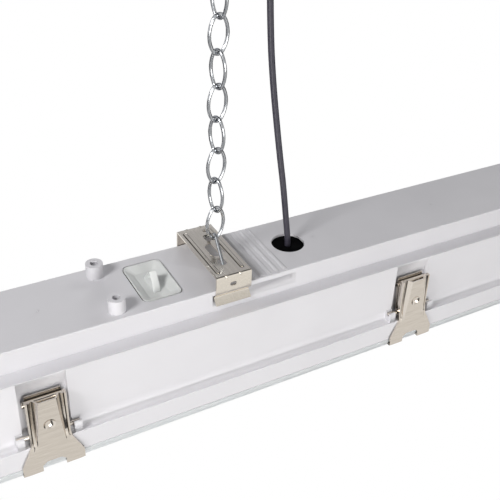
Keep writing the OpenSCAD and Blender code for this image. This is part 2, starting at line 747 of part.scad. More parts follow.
// A ceiling plate with an open hook. The hook faces across the top link.
module ceiling_hook(side) {
  turn = 90 * (links % 2);
  color("silver") translate([side * hook_pitch / 2, 0, 0]) {
    difference() {
      translate([0, 0, -plate_t]) cylinder(plate_t, plate_r, plate_r);
      for (s = [-1, 1]) translate([0, s * plate_hole_pitch / 2, -plate_t - 1])
        cylinder(plate_t + 2, plate_hole_r, plate_hole_r);
    }
    rotate([0, 0, turn]) {
      translate([0, 0, -hook_h + 2 * hook_bend_r])
        cylinder(hook_h - 2 * hook_bend_r - plate_t + 0.5, hook_wire_r, hook_wire_r);
      translate([0, 0, -hook_h + hook_bend_r]) rotate([90, 0, 0]) rotate([0, 0, 180])
        rotate_extrude(angle = 270) translate([hook_bend_r, 0]) circle(hook_wire_r);
      translate([-hook_bend_r, 0, -hook_h + hook_bend_r]) sphere(hook_wire_r);
    }
  }
}

// A ceiling plate with a low dome and a neck that the cable comes out of.
module cable_outlet() {
  neck_r = outlet_bore_r + 3.4;
  neck_z = drop - cable_points[len(cable_points) - 1][2] - 0.2;
  color("whitesmoke") translate([lum_x + outlet_x, outlet_y, 0]) difference() {
    union() {
      translate([0, 0, -plate_t]) cylinder(plate_t, outlet_r, outlet_r);
      translate([0, 0, -outlet_h]) cylinder(outlet_h - plate_t + 0.5, neck_r + 7, outlet_r - 2);
      translate([0, 0, -neck_z]) cylinder(neck_z - outlet_h + 2, neck_r, neck_r);
    }
    translate([0, 0, -neck_z - 2]) cylinder(neck_z - 2, outlet_bore_r, outlet_bore_r);
    for (s = [-1, 1]) rotate([0, 0, 60]) translate([s * (outlet_r - 6), 0, -outlet_h - 1]) {
      cylinder(outlet_h + 2, plate_hole_r, plate_hole_r);
      cylinder(outlet_h - plate_t, 2 * plate_hole_r, 2 * plate_hole_r);
    }
  }
}

// Points of a tube with an oval section, swept along a route and turned so that its flat side faces front.
function unit(v) = v / norm(v);
function tangent(p, i) = unit(p[min(i + 1, len(p) - 1)] - p[max(i - 1, 0)]);
function ring(p, i, n, a, b) =
  let (t = tangent(p, i), u = unit(cross([0, 1, 0], t)), v = cross(t, u))
  [for (k = [0 : n - 1]) p[i] + a * cos(360 * k / n) * u + b * sin(360 * k / n) * v];
function blend_point(p, s) =
  let (i = min(floor(s), len(p) - 2), f = s - i,
    a = p[max(i - 1, 0)], b = p[i], c = p[i + 1], d = p[min(i + 2, len(p) - 1)])
  0.5 * (2 * b + f * (c - a) + f * f * (2 * a - 5 * b + 4 * c - d) + f * f * f * (3 * b - a - 3 * c + d));

module sweep(p, n, a, b) {
  last = (len(p) - 1) * n;
  points = [for (i = [0 : len(p) - 1]) each ring(p, i, n, a, b)];
  sides = [for (i = [0 : len(p) - 2], k = [0 : n - 1])
    let (a = i * n + k, b = i * n + (k + 1) % n)
    each [[a, b, a + n], [b, b + n, a + n]]];
  caps = [for (k = [1 : n - 2]) each [[0, k + 1, k], [last, last + k, last + k + 1]]];
  polyhedron(points, concat(sides, caps));
}

module supply_cable() {
  steps = 3;
  route = [for (i = [0 : (len(cable_points) - 1) * steps]) blend_point(cable_points, i / steps)];
  color("darkslategray") at_light() sweep(route, 10, cable_w / 2, cable_h / 2);
}

housing();
end_plugs();
access_plug();
plug_seal();
cable_grommet();
rim_gasket();
diffuser();
gear_tray();
tray_screws();
driver();
driver_screws();
terminal_block();
led_boards();
leds();
latch_axles();
latch_link(1);  // latch_link_1
latch_link(2);  // latch_link_2
latch_link(3);  // latch_link_3
latch_link(4);  // latch_link_4
latch_link(5);  // latch_link_5
latch_link(6);  // latch_link_6
latch_rivet(1);  // latch_rivet_1
latch_rivet(2);  // latch_rivet_2
latch_rivet(3);  // latch_rivet_3
latch_rivet(4);  // latch_rivet_4
latch_rivet(5);  // latch_rivet_5
latch_rivet(6);  // latch_rivet_6
latch_lever(1);  // latch_lever_1
latch_lever(2);  // latch_lever_2
latch_lever(3);  // latch_lever_3
latch_lever(4);  // latch_lever_4
latch_lever(5);  // latch_lever_5
latch_lever(6);  // latch_lever_6
bracket(-1);  // bracket_left
bracket(1);  // bracket_right
chain_hook(-1);  // chain_hook_left
chain_hook(1);  // chain_hook_right
chain(-1);  // chain_left
chain(1);  // chain_right
ceiling_hook(-1);  // ceiling_hook_left
ceiling_hook(1);  // ceiling_hook_right
cable_outlet();
supply_cable();
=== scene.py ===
"""Dresses the chain-hung damp-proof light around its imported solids, for rendering and export."""

import logging
import math
from dataclasses import dataclass, field
from enum import Enum
from typing import Iterable, Sequence

import bmesh
import bpy
from mathutils import Matrix, Vector

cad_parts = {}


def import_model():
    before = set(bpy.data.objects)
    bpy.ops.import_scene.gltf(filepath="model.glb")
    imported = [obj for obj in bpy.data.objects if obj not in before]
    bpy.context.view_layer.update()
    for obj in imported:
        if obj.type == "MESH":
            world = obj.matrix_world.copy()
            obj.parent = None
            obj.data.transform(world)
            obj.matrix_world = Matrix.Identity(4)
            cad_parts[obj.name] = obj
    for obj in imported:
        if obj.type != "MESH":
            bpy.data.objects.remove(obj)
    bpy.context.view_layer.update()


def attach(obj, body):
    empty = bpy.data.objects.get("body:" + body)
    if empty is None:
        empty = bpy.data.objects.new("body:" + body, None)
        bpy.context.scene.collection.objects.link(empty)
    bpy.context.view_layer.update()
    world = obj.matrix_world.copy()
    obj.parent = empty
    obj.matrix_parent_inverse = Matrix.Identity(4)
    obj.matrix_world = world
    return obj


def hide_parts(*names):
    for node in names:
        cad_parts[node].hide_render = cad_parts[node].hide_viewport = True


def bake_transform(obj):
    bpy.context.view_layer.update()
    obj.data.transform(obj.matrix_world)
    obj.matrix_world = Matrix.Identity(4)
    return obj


LOG = logging.getLogger("damp_proof_light")
Mesh, Vert, Face = bmesh.types.BMesh, bmesh.types.BMVert, bmesh.types.BMFace
Tree, Node, Socket = bpy.types.NodeTree, bpy.types.Node, bpy.types.NodeSocket
Pair = tuple[float, float]
MM = 0.001
ALONG, ACROSS, UP = Vector((1, 0, 0)), Vector((0, 1, 0)), Vector((0, 0, 1))
# The middle of the housing's flat top, in the ceiling's frame.
LIGHT_TOP = Vector((-21.2, 0.0, -225.2)) * MM
HOOK_PITCH = 334.0
BACKGROUND_WHITE = 1.0
# Width of the cable's middle line, as a share of its half width.
CREASE_WIDTH = 0.16
# Nearly all of a noise pattern's values lie between these two.
PATTERN_LOW, PATTERN_HIGH = 0.3, 0.7


class Side(Enum):
    """The two long sides of the light."""

    FRONT = -1
    BACK = 1


class End(Enum):
    """The two hanging points along the light."""

    LEFT = -1
    RIGHT = 1


def at_light(x: float, y: float, z: float) -> Vector:
    """Turn millimetres from the flat top's middle into metres in the ceiling's frame."""
    return LIGHT_TOP + Vector((x, y, z)) * MM


def linear(hex_colour: str) -> tuple[float, float, float, float]:
    """Turn an sRGB colour such as "#c8cacc" into linear RGBA.

    Args:
        hex_colour: six hex digits after a hash sign.

    Returns:
        Linear red, green, blue and an alpha of one.
    """
    parts = [int(hex_colour[i : i + 2], 16) / 255 for i in (1, 3, 5)]
    red, green, blue = (c / 12.92 if c <= 0.04045 else ((c + 0.055) / 1.055) ** 2.4 for c in parts)
    return (red, green, blue, 1.0)


def add_node(tree: Tree, kind: str, settings: dict | None = None, inputs: dict | None = None) -> Node:
    """Add a shader node.

    Args:
        tree: the node tree to add it to.
        kind: the node's type, such as "ShaderNodeBump".
        settings: attributes to set on the node.
        inputs: socket name or number to a value, or to another node's output to link.

    Returns:
        The new node.
    """
    node = tree.nodes.new(kind)
    for key, value in (settings or {}).items():
        setattr(node, key, value)
    for key, value in (inputs or {}).items():
        if isinstance(value, Socket):
            tree.links.new(value, node.inputs[key])
        else:
            node.inputs[key].default_value = value
    return node


def new_material(name: str) -> bpy.types.Material:
    """Make a material with an empty node tree.

    Args:
        name: the material's name.

    Returns:
        The new material.
    """
    made = bpy.data.materials.new(name)
    made.use_nodes = True
    made.node_tree.nodes.clear()
    return made


def only(kind: type, geometry: Iterable) -> list:
    """Pick one kind of element out of an operator's result."""
    return [g for g in geometry if isinstance(g, kind)]


def ring(bm: Mesh, centre: Vector, along: Vector, across: Vector, half: Pair, sides: int, crease: float) -> list:
    """Add one cross-section of a swept wire or cable.

    Args:
        bm: the mesh to add to.
        centre: the section's middle, in metres.
        along: the direction of travel.
        across: the direction of the section's wide half.
        half: the half sizes across and over, in metres.
        sides: how many corners the section has.
        crease: depth of the line down the middle of each flat, as a share of the half size.

    Returns:
        The section's edges.
    """
    over = along.cross(across).normalized()
    place = Matrix((across, over, along)).transposed().to_4x4()
    place.translation = centre
    verts = bmesh.ops.create_circle(bm, cap_ends=False, radius=1.0, segments=sides)["verts"]
    for v in verts:
        groove = 1 - crease * math.exp(-((v.co.x / CREASE_WIDTH) ** 2))
        v.co = Vector((v.co.x * half[0], v.co.y * half[1] * groove, 0))
    bmesh.ops.transform(bm, matrix=place, verts=verts)
    return list(dict.fromkeys(e for v in verts for e in v.link_edges))


def sweep(
    bm: Mesh, path: Sequence[Vector], half: Pair, sides: int, across: Vector, closed: bool = False,
    crease: float = 0.0,
) -> None:
    """Sweep an oval section along a path, without twist.

    Args:
        bm: the mesh to add to.
        path: points of the centre line, in metres.
        half: the section's half sizes, in millimetres.
        sides: corners of the section.
        across: direction of the section's wide half at the start.
        closed: whether the path's end joins its start.
        crease: depth of the middle line, as a share of the half size.
    """
    count = len(path)
    rings = []
    for i, point in enumerate(path):
        before = path[(i - 1) % count] if closed or i else point
        after = path[(i + 1) % count] if closed or i < count - 1 else point
        along = (after - before).normalized()
        across = (across - along * across.dot(along)).normalized()
        rings.append(ring(bm, point, along, across, (half[0] * MM, half[1] * MM), sides, crease))
    for a, b in list(zip(rings, rings[1:])) + ([(rings[-1], rings[0])] if closed else []):
        bmesh.ops.bridge_loops(bm, edges=a + b)
    for end in () if closed else (rings[0], rings[-1]):
        bmesh.ops.contextual_create(bm, geom=end)
    bmesh.ops.recalc_face_normals(bm, faces=bm.faces)


def arc(centre: Vector, radius: float, start: float, end: float, steps: int, u: Vector, v: Vector) -> list[Vector]:
    """Give points on an arc.

    Args:
        centre: the arc's centre, in metres.
        radius: its radius, in millimetres.
        start: first angle in degrees, from u towards v.
        end: last angle in degrees.
        steps: how many spans it has.
        u: unit vector at angle zero.
        v: unit vector at ninety degrees.

    Returns:
        The points, with both ends.
    """
    angles = [math.radians(start + (end - start) * i / steps) for i in range(steps + 1)]
    return [centre + (u * math.cos(a) + v * math.sin(a)) * radius * MM for a in angles]


def loop(bm: Mesh, points: Sequence[Vector]) -> list:
    """Add a closed line through points and return its edges."""
    verts = [bm.verts.new(p) for p in points]
    return [bm.edges.new((a, b)) for a, b in zip(verts, verts[1:] + verts[:1])]


def fill(bm: Mesh, edges: Sequence) -> list:
    """Fill a flat outline but for the closed lines inside it, and return the new faces."""
    return only(Face, bmesh.ops.triangle_fill(bm, use_beauty=True, use_dissolve=False, edges=edges)["geom"])


def draw_row(bm: Mesh, row: Sequence[Vert], points: Sequence[Vector]) -> list:
    """Draw a row of joined points out into the next row of a sheet.

    Args:
        bm: the mesh.
        row: the last row's points, in order.
        points: where the new row's points go, in metres.

    Returns:
        The new row's points, in the same order.
    """
    edges = [bm.edges.get(pair) or bm.edges.new(pair) for pair in zip(row, row[1:])]
    new = set(only(Vert, bmesh.ops.extrude_edge_only(bm, edges=edges)["geom"]))
    drawn = [next(e.other_vert(v) for e in v.link_edges if e.other_vert(v) in new) for v in row]
    for v, point in zip(drawn, points):
        v.co = point
    return drawn


def draw_rim(bm: Mesh, rim: Sequence) -> tuple[list, list]:
    """Draw a closed line of edges out into the next one.

    Args:
        bm: the mesh.
        rim: the last line's edges.

    Returns:
        The new line's edges and its points.
    """
    verts = only(Vert, bmesh.ops.extrude_edge_only(bm, edges=rim)["geom"])
    touching = dict.fromkeys(e for v in verts for e in v.link_edges)
    return [e for e in touching if all(v in verts for v in e.verts)], verts


def draw_faces(bm: Mesh, faces: Sequence[Face]) -> tuple[list, list]:
    """Draw faces out of a mesh and leave their old place open.

    Args:
        bm: the mesh.
        faces: the faces to draw out.

    Returns:
        The new faces and their points, still in the old place.
    """
    out = bmesh.ops.extrude_face_region(bm, geom=faces)["geom"]
    bmesh.ops.delete(bm, geom=faces, context="FACES_ONLY")
    return only(Face, out), only(Vert, out)


def thicken(bm: Mesh, faces: Iterable[Face], way: Vector) -> tuple[list, list]:
    """Turn flat faces into a block.

    Args:
        bm: the mesh.
        faces: the faces, which stay as the block's near end.
        way: the block's thickness and direction, in metres.

    Returns:
        The far end's faces and points.
    """
    out = bmesh.ops.extrude_face_region(bm, geom=list(faces), use_keep_orig=True)["geom"]
    bmesh.ops.translate(bm, vec=way, verts=only(Vert, out))
    return only(Face, out), only(Vert, out)


def rounded_plate(bm: Mesh, size: Pair, corner: float, bottom: Vector, height: float) -> list:
    """Add an upright block with rounded corners.

    Args:
        bm: the mesh to add to.
        size: length and width in millimetres.
        corner: corner radius in millimetres.
        bottom: the middle of its lower face, in metres.
        height: its height in millimetres.

    Returns:
        The block's top face, in a list.
    """
    verts = bmesh.ops.create_grid(bm, x_segments=1, y_segments=1, size=0.5)["verts"]
    bmesh.ops.scale(bm, vec=(size[0] * MM, size[1] * MM, 1), verts=verts)
    bmesh.ops.translate(bm, vec=bottom, verts=verts)
    rounded = bmesh.ops.bevel(
        bm, geom=verts, offset=corner * MM, segments=8, profile=0.5, affect="VERTICES", material=-1
    )
    return thicken(bm, {f for v in rounded["verts"] for f in v.link_faces}, UP * height * MM)[0]


def soften(bm: Mesh, width: float, angle: float) -> None:
    """Round a mesh's sharp edges.

    Args:
        bm: the mesh.
        width: width of the rounding in millimetres.
        angle: an edge is sharp above this many degrees.
    """
    sharp = [e for e in bm.edges if e.is_manifold and e.calc_face_angle(0.0) > math.radians(angle)]
    bmesh.ops.bevel(
        bm, geom=sharp, offset=width * MM, offset_type="OFFSET", segments=2, profile=0.5,
        affect="EDGES", clamp_overlap=True, material=-1,
    )


def join_flats(bm: Mesh) -> None:
    """Join the triangles of each flat face."""
    bmesh.ops.dissolve_limit(bm, angle_limit=math.radians(1.0), verts=bm.verts, edges=bm.edges)


def node_copy(node: str) -> Mesh:
    """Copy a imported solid's mesh with its doubles merged.

    Args:
        node: the solid's name.

    Returns:
        A new mesh, in the ceiling's frame.
    """
    bm = bmesh.new()
    bm.from_mesh(bpy.data.objects[node].data)
    bmesh.ops.remove_doubles(bm, verts=bm.verts, dist=2e-6)
    return bm


def new_object(bm: Mesh, name: str) -> bpy.types.Object:
    """Turn a mesh into an object in the scene.

    Args:
        bm: the mesh, which is freed.
        name: the object's name.

    Returns:
        The new object.
    """
    mesh = bpy.data.meshes.new(name)
    bm.to_mesh(mesh)
    bm.free()
    made = bpy.data.objects.new(name, mesh)
    bpy.context.scene.collection.objects.link(made)
    return made


def finished(
    bm: Mesh, name: str, body: str, finish: "Finish", stands_for: Sequence[str] = (), sharp: float = 32.0,
    even_flats: bool = False,
) -> bpy.types.Object:
    """Turn a mesh into a piece that rides on a body.

    Args:
        bm: the mesh, which is freed.
        name: the piece's name.
        body: the body that it rides on, or nothing for the cable.
        finish: its finish.
        stands_for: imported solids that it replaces.
        sharp: faces meeting above this angle keep a hard edge.
        even_flats: whether large flat faces shade flat up to their rounded edges.

    Returns:
        The new object.
    """
    piece = new_object(bm, name)
    piece.data.shade_smooth()
    piece.data.set_sharp_from_angle(angle=math.radians(sharp))
    finish.put_on(piece)
    if even_flats:
        even = piece.modifiers.new("even_flats", "WEIGHTED_NORMAL")
        even.keep_sharp = True
        even.weight = 50
    if body:
        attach(piece, body)
    if stands_for:
        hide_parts(*stands_for)
    LOG.info("%s: %d faces", name, len(piece.data.polygons))
    return piece


def dress_node(
    node: str, word: str, body: str, finish: "Finish", rounding: float = 0.0, angle: float = 40.0,
    sharp: float = 32.0,
) -> None:
    """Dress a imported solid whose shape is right, with its sharp edges rounded.

    Args:
        node: the solid's name.
        word: what follows it in the piece's name.
        body: the body that it rides on.
        finish: its finish.
        rounding: width of the rounding in millimetres, or nothing for none.
        angle: an edge is rounded above this many degrees.
        sharp: faces meeting above this angle keep a hard edge.
    """
    bm = node_copy(node)
    join_flats(bm)
    if rounding:
        soften(bm, rounding, angle)
    finished(bm, f"{node}_{word}", body, finish, [node], sharp)


@dataclass(frozen=True)
class Finish:
    """A surface finish: its name, the record's slot it belongs to, its two near colours and its roughness."""

    name: str
    slot: str
    colour: str
    second: str
    roughness: float

    def shader(self, tree: Tree, place: Socket) -> Node:
        """Add this finish's shader, reading places in metres from place."""
        raise NotImplementedError

    def colour_by(self, tree: Tree, pattern: Socket) -> Socket:
        """Share out the finish's two colours.

        Args:
            tree: the node tree to add to.
            pattern: the noise that shares them out.

        Returns:
            The mixed colour.
        """
        share = add_node(tree, "ShaderNodeMapRange", inputs={
            "Value": pattern, "From Min": PATTERN_LOW, "From Max": PATTERN_HIGH,
        })
        mixed = add_node(tree, "ShaderNodeMix", {"data_type": "RGBA"}, {
            0: share.outputs[0], 6: linear(self.colour), 7: linear(self.second),
        })
        return mixed.outputs[2]

    def gloss_by(self, tree: Tree, pattern: Socket, less: float, more: float) -> Socket:
        """Let the roughness change from place to place.

        Args:
            tree: the node tree to add to.
            pattern: the noise that changes it.
            less: how far it falls.
            more: how far it rises.

        Returns:
            The roughness.
        """
        return add_node(tree, "ShaderNodeMapRange", inputs={
            "Value": pattern, "From Min": PATTERN_LOW, "From Max": PATTERN_HIGH,
            "To Min": self.roughness - less, "To Max": self.roughness + more,
        }).outputs[0]

    def material(self) -> bpy.types.Material:
        """Make this finish's material, or find it where it is made already.

        Returns:
            The material.
        """
        made = bpy.data.materials.get(self.name)
        if not made:
            made = new_material(self.name)
            place = add_node(made.node_tree, "ShaderNodeTexCoord").outputs["Object"]
            shader = self.shader(made.node_tree, place)
            add_node(made.node_tree, "ShaderNodeOutputMaterial", inputs={"Surface": shader.outputs[0]})
        return made

    def put_on(self, piece: bpy.types.Object) -> None:
        """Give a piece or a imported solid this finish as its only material."""
        piece.data.materials.clear()
        piece.data.materials.append(self.material())


@dataclass(frozen=True)
class MouldedPlastic(Finish):
    """Injection-moulded plastic from a spark-eroded mould: a fine even grain that spreads its highlights."""

    roughness: float = 0.48
    grain_mm: float = 0.7
    grain_depth: float = 0.012
    cloud_mm: float = 45.0

    def shader(self, tree: Tree, place: Socket) -> Node:
        """Add a satin plastic with grain and faint flow clouds.

        Args:
            tree: the node tree to add to.
            place: places in metres.

        Returns:
            The shader node.
        """
        grain = add_node(tree, "ShaderNodeTexNoise", inputs={
            "Vector": place, "Scale": 1 / (self.grain_mm * MM), "Detail": 3.0,
        })
        cloud = add_node(tree, "ShaderNodeTexNoise", inputs={
            "Vector": place, "Scale": 1 / (self.cloud_mm * MM), "Detail": 2.0,
        })
        bump = add_node(tree, "ShaderNodeBump", inputs={
            "Height": grain.outputs[0], "Distance": self.grain_depth * MM, "Strength": 0.8,
        })
        return add_node(tree, "ShaderNodeBsdfPrincipled", inputs={
            "Base Color": self.colour_by(tree, cloud.outputs[0]),
            "Roughness": self.gloss_by(tree, grain.outputs[0], 0.05, 0.05),
            "Normal": bump.outputs[0],
        })


@dataclass(frozen=True)
class OpalPlastic(Finish):
    """Opal acrylic: milky all through, smooth outside, lets light pass but shows no shapes behind it."""

    wave_mm: float = 14.0
    reach_mm: float = 4.0

    def shader(self, tree: Tree, place: Socket) -> Node:
        """Add a smooth milky plastic with the slow waves of its moulding.

        Args:
            tree: the node tree to add to.
            place: places in metres.

        Returns:
            The shader node.
        """
        wave = add_node(tree, "ShaderNodeTexNoise", inputs={
            "Vector": place, "Scale": 1 / (self.wave_mm * MM), "Detail": 1.0,
        })
        bump = add_node(tree, "ShaderNodeBump", inputs={
            "Height": wave.outputs[0], "Distance": 0.02 * MM, "Strength": 0.4,
        })
        return add_node(tree, "ShaderNodeBsdfPrincipled", inputs={
            "Base Color": self.colour_by(tree, wave.outputs[0]),
            "Roughness": self.roughness,
            "IOR": 1.49,
            "Transmission Weight": 0.35,
            "Subsurface Weight": 0.3,
            "Subsurface Radius": (self.reach_mm * MM,) * 3,
            "Subsurface Scale": 1.0,
            "Normal": bump.outputs[0],
        })


@dataclass(frozen=True)
class RolledSheet(Finish):
    """Cold-rolled stainless sheet: fine rolling lines one way, so its gloss is a little drawn out."""

    line_mm: float
    line_depth: float
    lines_along: tuple[float, float, float] = (0.04, 1, 1)
    # Painted shade: the dark colour that creases and hollows are darkened towards, and how far the occlusion test
    # looks.
    painted_crease_shade: str = "#2b2724"
    painted_shade_reach_mm: float = 3.0
    mark_mm: float = 6.0

    def shader(self, tree: Tree, place: Socket) -> Node:
        """Add a metal with rolling lines, faint handling marks and painted shade in its creases.

        Args:
            tree: the node tree to add to.
            place: places in metres.

        Returns:
            The shader node.
        """
        drawn = add_node(tree, "ShaderNodeMapping", inputs={"Vector": place, "Scale": self.lines_along})
        lines = add_node(tree, "ShaderNodeTexNoise", inputs={
            "Vector": drawn.outputs[0], "Scale": 1 / (self.line_mm * MM), "Detail": 2.0,
        })
        marks = add_node(tree, "ShaderNodeTexNoise", inputs={
            "Vector": place, "Scale": 1 / (self.mark_mm * MM), "Detail": 3.0,
        })
        bump = add_node(tree, "ShaderNodeBump", inputs={
            "Height": lines.outputs[0], "Distance": self.line_depth * MM, "Strength": 1.0,
        })
        # Painted shade: an occlusion test darkens narrow creases, hollows and the sheet behind edges towards a
        # dark brown.
        crease = add_node(tree, "ShaderNodeAmbientOcclusion", {"samples": 16}, {"Distance": self.painted_shade_reach_mm * MM})
        unshaded_share = add_node(tree, "ShaderNodeMapRange", inputs={
            "Value": crease.outputs["AO"], "From Min": 0.3, "From Max": 0.72,
        })
        colour = add_node(tree, "ShaderNodeMix", {"data_type": "RGBA"}, {
            0: unshaded_share.outputs[0], 6: linear(self.painted_crease_shade), 7: self.colour_by(tree, lines.outputs[0]),
        })
        return add_node(tree, "ShaderNodeBsdfPrincipled", inputs={
            "Base Color": colour.outputs[2],
            "Metallic": 1.0,
            "Roughness": self.gloss_by(tree, marks.outputs[0], 0.02, 0.03),
            "Normal": bump.outputs[0],
        })


@dataclass(frozen=True)
class BrightZinc(Finish):
    """Bright zinc plating on drawn wire: near mirror, with faint milky patches."""

    patch_mm: float = 3.0

    def shader(self, tree: Tree, place: Socket) -> Node:
        """Add a bright metal whose gloss changes in patches.

        Args:
            tree: the node tree to add to.
            place: places in metres.

        Returns:
            The shader node.
        """
        patch = add_node(tree, "ShaderNodeTexNoise", inputs={
            "Vector": place, "Scale": 1 / (self.patch_mm * MM), "Detail": 2.0,
        })
        bump = add_node(tree, "ShaderNodeBump", inputs={
            "Height": patch.outputs[0], "Distance": 0.006 * MM, "Strength": 0.4,
        })
        return add_node(tree, "ShaderNodeBsdfPrincipled", inputs={
            "Base Color": self.colour_by(tree, patch.outputs[0]),
            "Metallic": 1.0,
            "Roughness": self.gloss_by(tree, patch.outputs[0], 0.03, 0.08),
            "Normal": bump.outputs[0],
        })


@dataclass(frozen=True)
class SoftRubber(Finish):
    """Black rubber or flexible sheathing: dark, slightly purple, with a dull sheen."""

    specular: float = 0.5
    bloom_mm: float = 3.0
    skin_mm: float = 0.6

    def shader(self, tree: Tree, place: Socket) -> Node:
        """Add a dark soft plastic with patches of pale bloom and a fine skin.

        Args:
            tree: the node tree to add to.
            place: places in metres.

        Returns:
            The shader node.
        """
        bloom = add_node(tree, "ShaderNodeTexNoise", inputs={
            "Vector": place, "Scale": 1 / (self.bloom_mm * MM), "Detail": 4.0,
        })
        skin = add_node(tree, "ShaderNodeTexNoise", inputs={
            "Vector": place, "Scale": 1 / (self.skin_mm * MM), "Detail": 2.0,
        })
        bump = add_node(tree, "ShaderNodeBump", inputs={
            "Height": skin.outputs[0], "Distance": 0.012 * MM, "Strength": 0.7,
        })
        return add_node(tree, "ShaderNodeBsdfPrincipled", inputs={
            "Base Color": self.colour_by(tree, bloom.outputs[0]),
            "Roughness": self.gloss_by(tree, bloom.outputs[0], 0.08, 0.08),
            "Specular IOR Level": self.specular,
            "Normal": bump.outputs[0],
        })


# Light grey moulded polycarbonate blend: faintly bluish, satin, with a fine spark-eroded grain.
HOUSING_PLASTIC = MouldedPlastic("moulded_grey_housing_plastic", "housing_plastic", "#d7d6da", "#d3d2d6")
# The same plastic without the blue, from a smoother mould, so its slopes shade softly.
PLUG_PLASTIC = MouldedPlastic("moulded_pale_plug_plastic", "plug_plastic", "#dbdddc", "#d7d9d8", 0.42, 0.5, 0.006)
# Moulded polyamide fittings: whiter and a little glossier than the housing.
FITTING_PLASTIC = MouldedPlastic("moulded_white_fitting_plastic", "fitting_plastic", "#e2e3e4", "#dcddde", 0.4)
# Moulded flame-retardant case of the driver: plain white with a soft gloss.
CASE_PLASTIC = MouldedPlastic("moulded_driver_case_plastic", "driver_case", "#eceded", "#e4e5e6", 0.45)
# Moulded polyamide terminal block: creamy, with sharp small highlights.
BLOCK_PLASTIC = MouldedPlastic("moulded_terminal_block_plastic", "terminal_plastic", "#e6e0cf", "#ddd7c6", 0.4)
# Opal acrylic of the diffuser: cool milky white that glows at its thin edges.
OPAL = OpalPlastic("opal_acrylic", "opal_plastic", "#eff2f4", "#e9edf0", 0.28)
# Bright-rolled stainless spring sheet of the clips: warm, smooth, close to a mirror but blurred.
CLIP_STEEL = RolledSheet("bright_rolled_clip_steel", "latch_steel", "#ded6cc", "#d3cbc1", 0.17, 0.6, 0.003)
# Plain-rolled stainless sheet of the brackets: duller and warmer, with fine lines across the light.
BRACKET_STEEL = RolledSheet(
    "rolled_bracket_steel", "bracket_steel", "#e8e1d6", "#e0d9ce", 0.17, 0.8, 0.002, (1, 0.04, 1)
)
# Bright zinc plate on the chain, the wire hooks and the screws: cool mirror with milky patches.
ZINC = BrightZinc("bright_zinc_plate", "zinc_steel", "#c3c5c8", "#a9acb0", 0.12)
# White powder coat on the gear tray: an even skin with a soft orange peel about 1 mm across.
TRAY_PAINT = MouldedPlastic("white_powder_coat", "tray_steel", "#f0f0ee", "#e9e9e7", 0.35, 1.2, 0.02)
# White solder mask on the boards: flat, clean and slightly glossy.
BOARD_MASK = MouldedPlastic("white_solder_mask", "board", "#f1f2f0", "#e8eae8", 0.3, 2.0, 0.004)
# Phosphor gel over the light sources: matt warm yellow.
PHOSPHOR = MouldedPlastic("yellow_phosphor", "led_plastic", "#e8cf6a", "#dcc25a", 0.5, 0.4, 0.01)
# Moulded black seal rubber: dull and dark, with a faint bloom.
SEAL_RUBBER = SoftRubber("black_seal_rubber", "seal_rubber", "#161617", "#1f1f21", 0.7, 0.3)
# Black grommet rubber, pushed to near pure black with almost no sheen so that it paints the shade inside the cable
# hole and in the access plug's gap.
SHADE_BLACK_RUBBER = SoftRubber("black_grommet_rubber", "seal_rubber", "#030304", "#060607", 0.9, 0.03)
# Dark flexible sheath of the cable: near black with a purple cast and a soft sheen.
SHEATH = SoftRubber("dark_cable_sheath", "cable_jacket", "#2c2a36", "#3a3842", 0.42)


